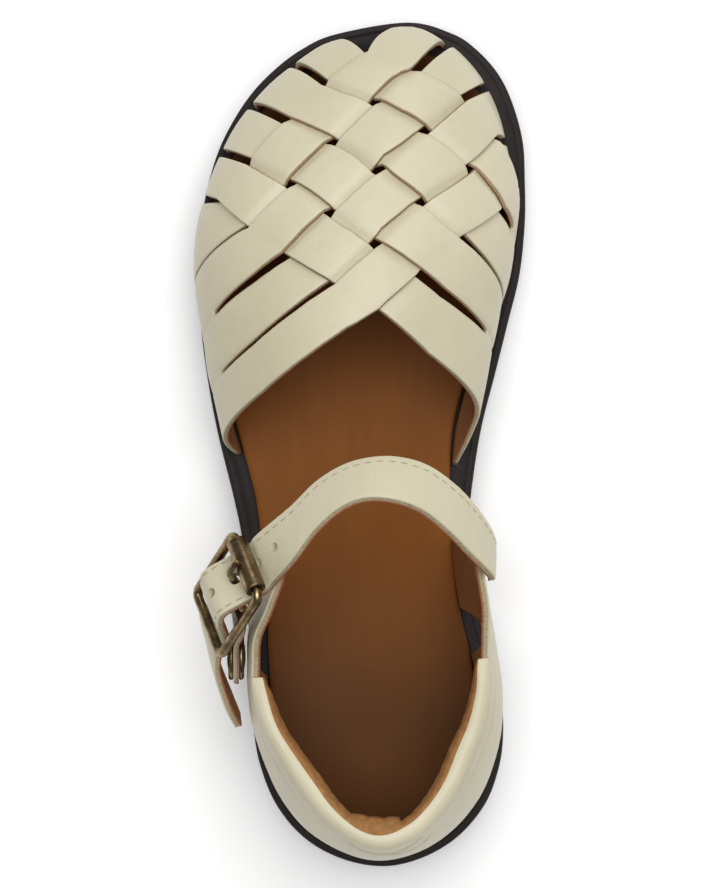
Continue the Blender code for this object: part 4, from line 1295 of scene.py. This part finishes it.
def chape_table():
    """Rows of the loop round the bar and down to the stud."""
    rows = []
    bore = CHAPE_LOOP - CHAPE_THICK / 2
    for turn in CHAPE_TURN:
        t = math.radians(turn)
        rows.append((*on_buckle(0.0, bore * math.cos(t), BAR_DROP + bore * math.sin(t)), *ACROSS, 1.0))
    for along, above in CHAPE_RUN:
        rows.append((*on_buckle(0.0, along, above + CHAPE_THICK / 2), *ACROSS, 1.0))
    seat = stud_point(CHAPE_SPAN[1])
    axis = unit(STUD_AXIS)
    drop = seat - np.array(rows[-1][:3])
    drop = unit(drop - axis * np.dot(drop, axis))
    for share, width in CHAPE_SEAT:
        rows.append((*(seat + drop * STUD_RADIUS * share), *np.cross(axis, drop), width))
    return np.array(rows)


chape = build_band("buckle_chape_leather", chape_table(), CHAPE_WIDTH, CHAPE_THICK, STRAP_FINE, 0.0)
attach(chape, "root")
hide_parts("buckle_chape")
print("chape:", len(chape.data.polygons), "faces")

# %% [markdown]
# The buckle is an old-brass wire frame with a centre bar, a loose roller where the strap turns in, and a
# prong that hooks round the bar. Curves with a round bevel could make them. Here rings of points are led
# along each wire, because that puts as many of them in the corners of the frame as a close view needs.

# %% Round wires
# Half profile of the roller, from its bore to its face: share of the length, share of the radius
ROLLER_EDGE = ((0.5, 0.7), (0.5, 0.93), (0.488, 0.985), (0.465, 1.0))
ROLLER_PROFILE = ROLLER_EDGE + tuple((-share, size) for share, size in ROLLER_EDGE[::-1])
# Prong: how stout it is, points between two rows, sides, size of its tip and growth from it
PRONG_STOUT = 1.15
PRONG_FINE = 5
PRONG_SIDES = 14
PRONG_TIP = 0.45
PRONG_GROWTH = 0.18


def circle(centre, side, top, radius, sides):
    """Points round a centre, in the plane of two directions."""
    turns = np.arange(sides) * 2 * math.pi / sides
    return [centre + (side * math.cos(t) + top * math.sin(t)) * radius for t in turns]


def joined(name, *skins):
    """One mesh from several skins."""
    points = []
    faces = []
    for some_points, some_faces in skins:
        start = len(points)
        points += list(some_points)
        faces += [tuple(start + c for c in face) for face in some_faces]
    made = smooth(mesh_object(name, points, faces))
    made.data.validate()
    return made


def rod(path, radii, sides, up):
    """Rings of a round rod along a list of points."""
    path = [np.array(p) for p in path]
    rings = []
    for i, point in enumerate(path):
        run = unit(path[min(i + 1, len(path) - 1)] - path[max(i - 1, 0)])
        side = unit(np.cross(run, up))
        rings.append(circle(point, side, np.cross(side, run), radii[i], sides))
    return rings


def frame_rings():
    """Rings round the wire of the frame, with rounded corners."""
    wire = []
    for i in range(4):
        sign_x = 1.0 if i in (0, 3) else -1.0
        sign_y = 1.0 if i in (0, 1) else -1.0
        for k in range(CORNER_STEPS + 1):
            turn = (i + k / CORNER_STEPS) * math.pi / 2
            wire.append((sign_x * (FRAME_HALF_WIDTH - FRAME_CORNER) + FRAME_CORNER * math.cos(turn),
                         sign_y * (FRAME_HALF_LENGTH - FRAME_CORNER) + FRAME_CORNER * math.sin(turn)))
    rings = []
    for i, (u, v) in enumerate(wire):
        run = unit(np.array(wire[(i + 1) % len(wire)]) - np.array(wire[i - 1]))
        side = ACROSS * run[1] - ALONG * run[0]
        rings.append(circle(on_buckle(u, v, 0.0), side, ABOVE, WIRE_RADIUS, WIRE_SIDES))
    return rings


print("rings round the frame:", len(frame_rings()))

# %% Buckle
shoulder = FRAME_HALF_WIDTH - BAR_SHOULDER
bar_rows = ((-FRAME_HALF_WIDTH, 0.0), (-shoulder, BAR_DROP), (shoulder, BAR_DROP), (FRAME_HALF_WIDTH, 0.0))
bar_path = [on_buckle(across, 0.0, above) for across, above in bar_rows]
bar = rod(bar_path, [BAR_RADIUS] * len(bar_path), WIRE_SIDES, ALONG)
buckle = joined("buckle_wire", skin(frame_rings(), True), capped(bar))
roller_rings = [circle(on_buckle(share * ROLLER_LENGTH, -FRAME_HALF_LENGTH, 0.0), ALONG, ABOVE,
                       ROLLER_RADIUS * size, ROLLER_SIDES) for share, size in ROLLER_PROFILE]
roller = joined("buckle_roller_tube", skin(roller_rings, True))
turns = [math.radians(t) for t in PRONG_RING_TURN]
hook = [(PRONG_RING * math.cos(t), BAR_DROP + PRONG_RING * math.sin(t)) for t in turns]
hook = np.array(hook + list(PRONG_PATH))
last = len(hook) - 1
fine = [spline(hook, k) for k in np.linspace(0.0, last - FLAT, last * PRONG_FINE + 1)]
sizes = [PRONG_RADIUS * PRONG_STOUT * min(1.0, PRONG_TIP + PRONG_GROWTH * (len(fine) - 1 - k))
         for k in range(len(fine))]
prong_path = [on_buckle(0.0, along, above) for along, above in fine]
prong = joined("buckle_prong_wire", capped(rod(prong_path, sizes, PRONG_SIDES, ACROSS)))
for made, node in ((buckle, "buckle_frame"), (roller, "buckle_roller"), (prong, "buckle_prong")):
    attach(made, "root")
    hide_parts(node)
print("buckle:", len(buckle.data.polygons) + len(roller.data.polygons) + len(prong.data.polygons), "faces")

# %% [markdown]
# The press stud that holds the chape to the leg is a pair of turned caps. A cap is a profile spun round
# the stud's axis: a flat seat, a rounded rim, a shallow groove and a low dome. A screw modifier could spin
# it; rings are set straight on the tilted axis.

# %% Press stud
STUD_SIDES = 36
STUD_PRESS = 0.25
# Profile of a cap: share of the radius, share of the height; its middle is a very small ring
CAP_MIDDLE = 0.004
CAP_PROFILE = (
    (CAP_MIDDLE, 0.0), (0.93, 0.0), (1.0, 0.18), (1.0, 0.5), (0.93, 0.74), (0.8, 0.8), (0.72, 0.7),
    (0.62, 0.74), (0.4, 0.92), (0.18, 0.99), (CAP_MIDDLE, 1.0),
)


def turned(name, start, end):
    """Cap turned round the stud's axis, from its seat, pressed into the leather, to its dome."""
    start -= math.copysign(STUD_PRESS, end - start)
    axis = unit(STUD_AXIS)
    side = unit(np.cross(axis, (0.0, 0.0, 1.0)))
    top = np.cross(side, axis)
    rings = []
    for size, share in CAP_PROFILE:
        centre = stud_point(start + (end - start) * share)
        rings.append(circle(centre, side, top, size * STUD_RADIUS, STUD_SIDES))
    return joined(name, capped(rings))


stud_cap = turned("press_stud_outer", *CAP_SPAN)
stud_socket = turned("press_stud_inner", *SOCKET_SPAN[::-1])
for made, node in ((stud_cap, "press_stud_cap"), (stud_socket, "press_stud_socket")):
    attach(made, "root")
    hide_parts(node)
print("stud faces:", len(stud_cap.data.polygons))

# %% [markdown]
# The strap has a row of punched holes. A round punch cuts the free ones square to the strap, and the one
# for the prong along the prong. The wall of a hole shows the fibres of the leather, so the punch carries
# the depth of a cut edge over to the strap.

# %% Punched holes
# Hole of the prong: along the buckle, above its plane
PRONG_HOLE = ((-4.0, -1.6), (-7.9, 2.4))
PRONG_HOLE_RADIUS = 1.4
# Free holes in the strap's rows; radius, sharp angle, reach and sides of the punch, depth of its wall
HOLE_PLACES = (10.55, 11.75, 15.0)
HOLE_RADIUS = 1.1
HOLE_CREASE = math.radians(50.0)
HOLE_REACH = 3.0
HOLE_SIDES = 28
HOLE_DEPTH = 0.5


def punch(made, path, radius):
    """Cuts a round hole along a path through a leather piece."""
    tool = smooth(mesh_object("punch", *capped(rod(path, [radius] * len(path), HOLE_SIDES, ACROSS))))
    keep_values(tool, depth=[HOLE_DEPTH] * len(tool.data.vertices))
    cutter = made.modifiers.new("hole", "BOOLEAN")
    cutter.solver = "EXACT"
    cutter.object = tool
    cut = bpy.data.meshes.new_from_object(made.evaluated_get(bpy.context.evaluated_depsgraph_get()))
    made.modifiers.clear()
    cut.set_sharp_from_angle(angle=HOLE_CREASE)
    made.data = cut
    bpy.data.objects.remove(tool, do_unlink=True)


for k in HOLE_PLACES:
    centre, across, above, share = band_frame(STRAP_TABLE, k)
    punch(strap, [centre - above * HOLE_REACH, centre + above * HOLE_REACH], HOLE_RADIUS)
punch(strap, [on_buckle(0.0, along, above) for along, above in PRONG_HOLE], PRONG_HOLE_RADIUS)
print("strap with holes:", len(strap.data.polygons), "faces")

# %% [markdown]
# Stitches are short beads of thread that the machine pulled deep into the leather, so from above they read
# as fine dark dashes. Copies of one stitch could be laid along a curve. Here each is made with a direction
# along the seam and one out of the leather, so that it follows every bend of the strap, and a row is
# joined into one mesh.

# %% Stitches
BEAD_LENGTH = 1.8
BEAD_PITCH = 2.6
BEAD_WIDTH = 0.32
# Rings along a stitch: share of the length, share of the width
BEAD_RINGS = ((-0.5, 0.25), (-0.42, 0.7), (-0.2, 1.0), (0.2, 1.0), (0.42, 0.7), (0.5, 0.25))
BEAD_SIDES = 8
BEAD_SINK = 0.4
BEAD_FLAT = 0.7
# Seams: distance from the edge on the strap and on its tail, steps of a path, look ahead, depth in the crown
FRONT_SEAM = 2.05
TAIL_SEAM = 1.55
SEAM_STEPS = 120
SEAM_AHEAD = 0.3
SEAM_DEPTH = 0.5


def bead(place, along, out):
    """One stitch."""
    side = unit(np.cross(along, out))
    rings = []
    for share, size in BEAD_RINGS:
        middle = place + along * share * BEAD_LENGTH - out * (1.0 - size) * BEAD_WIDTH * BEAD_SINK
        rings.append(circle(middle, side, out * BEAD_FLAT, size * BEAD_WIDTH / 2, BEAD_SIDES))
    return capped(rings)


def seam(name, path, outs):
    """Row of stitches at an even pitch along a path of points."""
    path = np.array(path)
    outs = np.array(outs)
    arc = np.concatenate(((0.0,), np.cumsum(np.linalg.norm(np.diff(path, axis=0), axis=1))))
    beads = []
    for at in np.arange(BEAD_PITCH, arc[-1] - BEAD_PITCH / 2, BEAD_PITCH):
        place = np.array([np.interp(at, arc, path[:, c]) for c in range(3)])
        ahead = np.array([np.interp(at + SEAM_AHEAD, arc, path[:, c]) for c in range(3)])
        out = unit([np.interp(at, arc, outs[:, c]) for c in range(3)])
        beads.append(bead(place, unit(ahead - place), out))
    return joined(name, *beads)


def strap_line(start, end, offset):
    """Path on the strap's face at a distance from its front edge, with the direction out."""
    path = []
    outs = []
    for k in np.linspace(start, end, SEAM_STEPS):
        centre, across, above, share = band_frame(STRAP_TABLE, k)
        path.append(centre + across * (offset - STRAP_WIDTH / 2) - above * STRAP_CROWN * SEAM_DEPTH)
        outs.append(above)
    return path, outs


# Rows of stitches: name, start and end in the strap's rows, distance from the front edge
SEAM_RUNS = (
    ("strap_stitches", 0.4, 11.6, FRONT_SEAM),
    ("tail_stitches_front", 13.4, 17.0, TAIL_SEAM),
    ("tail_stitches_rear", 13.4, 17.0, STRAP_WIDTH - TAIL_SEAM),
)
seams = [seam(name, *strap_line(start, end, offset)) for name, start, end, offset in SEAM_RUNS]
for made in seams:
    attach(made, "root")
print("stitch faces:", [len(made.data.polygons) for made in seams])

# %% [markdown]
# The cream leather is smooth and a little waxy, with a fine grain, a slow change of tone and slightly
# darker, matt cut edges. The depth kept on each point tells face, edge and lining apart, so one finish
# serves every cut panel.

# %% Cream leather
def cream_tone(finish):
    """Slow change of tone of the dyed face."""
    slow = finish.noise(28.0, 3.0).ramp(0.3, 0.7)
    fine = finish.noise(420.0, 3.0, 0.6).ramp(0.25, 0.75)
    return (slow * 0.7 + fine * 0.3).between(srgb(202, 194, 164), srgb(212, 204, 176))


def grain(finish):
    """Height of the fine grain: soft cells with a slow pull."""
    cells = finish.cells(1500.0).ramp(0.0, 0.75)
    pull = finish.noise(260.0, 3.0, 0.55)
    return cells * 0.35 + pull * 0.65


cut_leather = Finish("cream_cut_leather")
depth = cut_leather.attribute("depth")
fibre = cut_leather.noise(2600.0, 3.0, 0.7)
edge_tone = fibre.ramp(0.3, 0.7).between(srgb(136, 124, 96), srgb(186, 174, 142))
rust_tone = fibre.ramp(0.3, 0.7).between(srgb(118, 64, 38), srgb(178, 102, 64))
lining_tone = fibre.ramp(0.3, 0.7).between(srgb(142, 92, 48), srgb(160, 106, 58))
wander = (fibre - 0.5) * 0.3
skin_tone = (depth + wander).ramp(0.1, 0.3).between(cream_tone(cut_leather), edge_tone)
skin_tone = (depth + wander).ramp(0.66, 0.82).between(skin_tone, rust_tone)
skin_tone = depth.ramp(0.95, 0.99).between(skin_tone, lining_tone)
cut_leather.set("Base Color", skin_tone)
cut_leather.set("Roughness", 0.42 + depth.ramp(0.05, 0.3) * 0.4 + cut_leather.noise(60.0) * 0.08)
cut_leather.set("Coat Weight", 0.12 - depth.ramp(0.05, 0.25) * 0.12)
cut_leather.set("Coat Roughness", 0.35)
cut_leather.bump(grain(cut_leather) + depth.ramp(0.1, 0.3) * fibre * 2.0, 0.45, 0.00014)
cut_leather.dress(vamp_first, vamp_second, counter, strap, chape)

# %% [markdown]
# The collar wears the same cream skin outside and a matt tan lining inside. Its faces could be given two
# materials. A number kept on each point lets one finish pass from skin to lining without a hard step.

# %% Collar leather
collar_skin = Finish("collar_leather")
lined = collar_skin.attribute("lining").ramp(0.35, 0.65)
weft = collar_skin.noise(700.0, 3.0, 0.6)
lining_mix = weft.ramp(0.3, 0.7).between(srgb(142, 96, 50), srgb(164, 116, 64))
collar_skin.set("Base Color", lined.between(cream_tone(collar_skin), lining_mix))
collar_skin.set("Roughness", 0.44 + lined * 0.3)
collar_skin.bump(grain(collar_skin), 0.45, 0.00014)
collar_skin.dress(collar)

# %% [markdown]
# The footbed is golden tan calf with a satin face. Its colour is darker in the heel, partly where the foot
# has polished and soiled it and partly as painted shade of the deep heel cup, and darker under the weave as
# painted shade of the vamp. It has a slow cloud of tone, a faint vertical drag and very few pits. A mask
# could be painted for the darker ends; the place along the shoe gives the same with a ramp.

# %% Footbed leather
bed = Finish("footbed_tan")
along_shoe = bed.kit.node("ShaderNodeSeparateXYZ", {}, {0: bed.place}, "Y")
pits = 1 - bed.cells(260.0).ramp(0.0, 0.06)
cloud = bed.noise(26.0, 4.0, 0.6).ramp(0.3, 0.72)
drag = bed.noise(300.0, 3.0, 0.6, (1.0, 0.12, 1.0)).ramp(0.35, 0.7)
fleck = bed.noise(1500.0, 2.0, 0.6).ramp(0.35, 0.7)
tan_tone = (cloud * 0.75 + drag * 0.25).between(srgb(124, 73, 28), srgb(139, 84, 34))
# Painted shade: darker towards the heel, partly soiling and partly the shade of the deep heel cup
tan_tone = (along_shoe.ramp(-0.01, -0.065) * 0.75).between(tan_tone, srgb(60, 36, 14))
# Painted shade: darker under the woven vamp, where the vamp's shade falls on the footbed
tan_tone = (along_shoe.ramp(-0.005, 0.035) * 0.65).between(tan_tone, srgb(84, 48, 21))
bed.set("Base Color", (pits * 0.5).between(tan_tone, srgb(70, 40, 22)))
bed.set("Roughness", 0.46 + cloud * 0.1)
bed.set("Specular IOR Level", 0.08)
bed.bump(fleck * 0.25 - pits, 0.25, 0.0001)
bed.dress(insole)

# %% [markdown]
# The sole is dark brown rubber with a fine sanded grain and paler rubbed specks along the rim. A tiled
# pattern would show where it repeats, so two noises of different size are mixed.

# %% Rubber
rubber = Finish("sole_rubber")
speck = rubber.noise(1700.0, 3.0, 0.65)
worn = rubber.noise(90.0, 3.0, 0.6).ramp(0.45, 0.75)
dark_tone = (speck.ramp(0.4, 0.75) * 0.5 + worn * 0.3).between(srgb(26, 19, 18), srgb(54, 44, 40))
rubber.set("Base Color", dark_tone)
rubber.set("Roughness", 0.58 + speck * 0.2)
rubber.set("Specular IOR Level", 0.35)
rubber.bump(speck, 0.4, 0.00015)
rubber.dress(outsole)

# %% [markdown]
# The metal is brass with an aged dip: brown in the hollows and rubbed bright where hands touch it. Colour,
# roughness and relief all read the same noise, so that a bright place is a smooth one too.

# %% Old brass
brass = Finish("old_brass")
patch = brass.noise(260.0, 4.0, 0.65).ramp(0.35, 0.7)
scratch = brass.noise(900.0, 2.0, 0.5, (1.0, 6.0, 1.0)).ramp(0.4, 0.7)
brass.set("Base Color", (patch * 0.7 + scratch * 0.3).between(srgb(98, 81, 57), srgb(176, 152, 112)))
brass.set("Metallic", 1.0)
brass.set("Roughness", 0.33 - patch * 0.08)
brass.bump(patch + scratch * 0.3, 0.15, 0.0001)
brass.dress(buckle, roller, prong, stud_cap, stud_socket)

# %% [markdown]
# The thread is waxed. Its colour is set darker than the leather as painted shade of the groove that the
# seam is pulled into. Its twist is too fine to be modelled, so a noise stands for it.

# %% Thread
thread = Finish("waxed_thread")
twist = thread.noise(2200.0, 2.0).ramp(0.3, 0.7)
# Painted shade: the thread's colour is darker than the leather, standing for the shade in its groove
thread.set("Base Color", twist.between(srgb(150, 141, 113), srgb(182, 173, 144)))
thread.set("Roughness", 0.55)
thread.bump(twist, 0.3, 0.0001)
thread.dress(*seams)
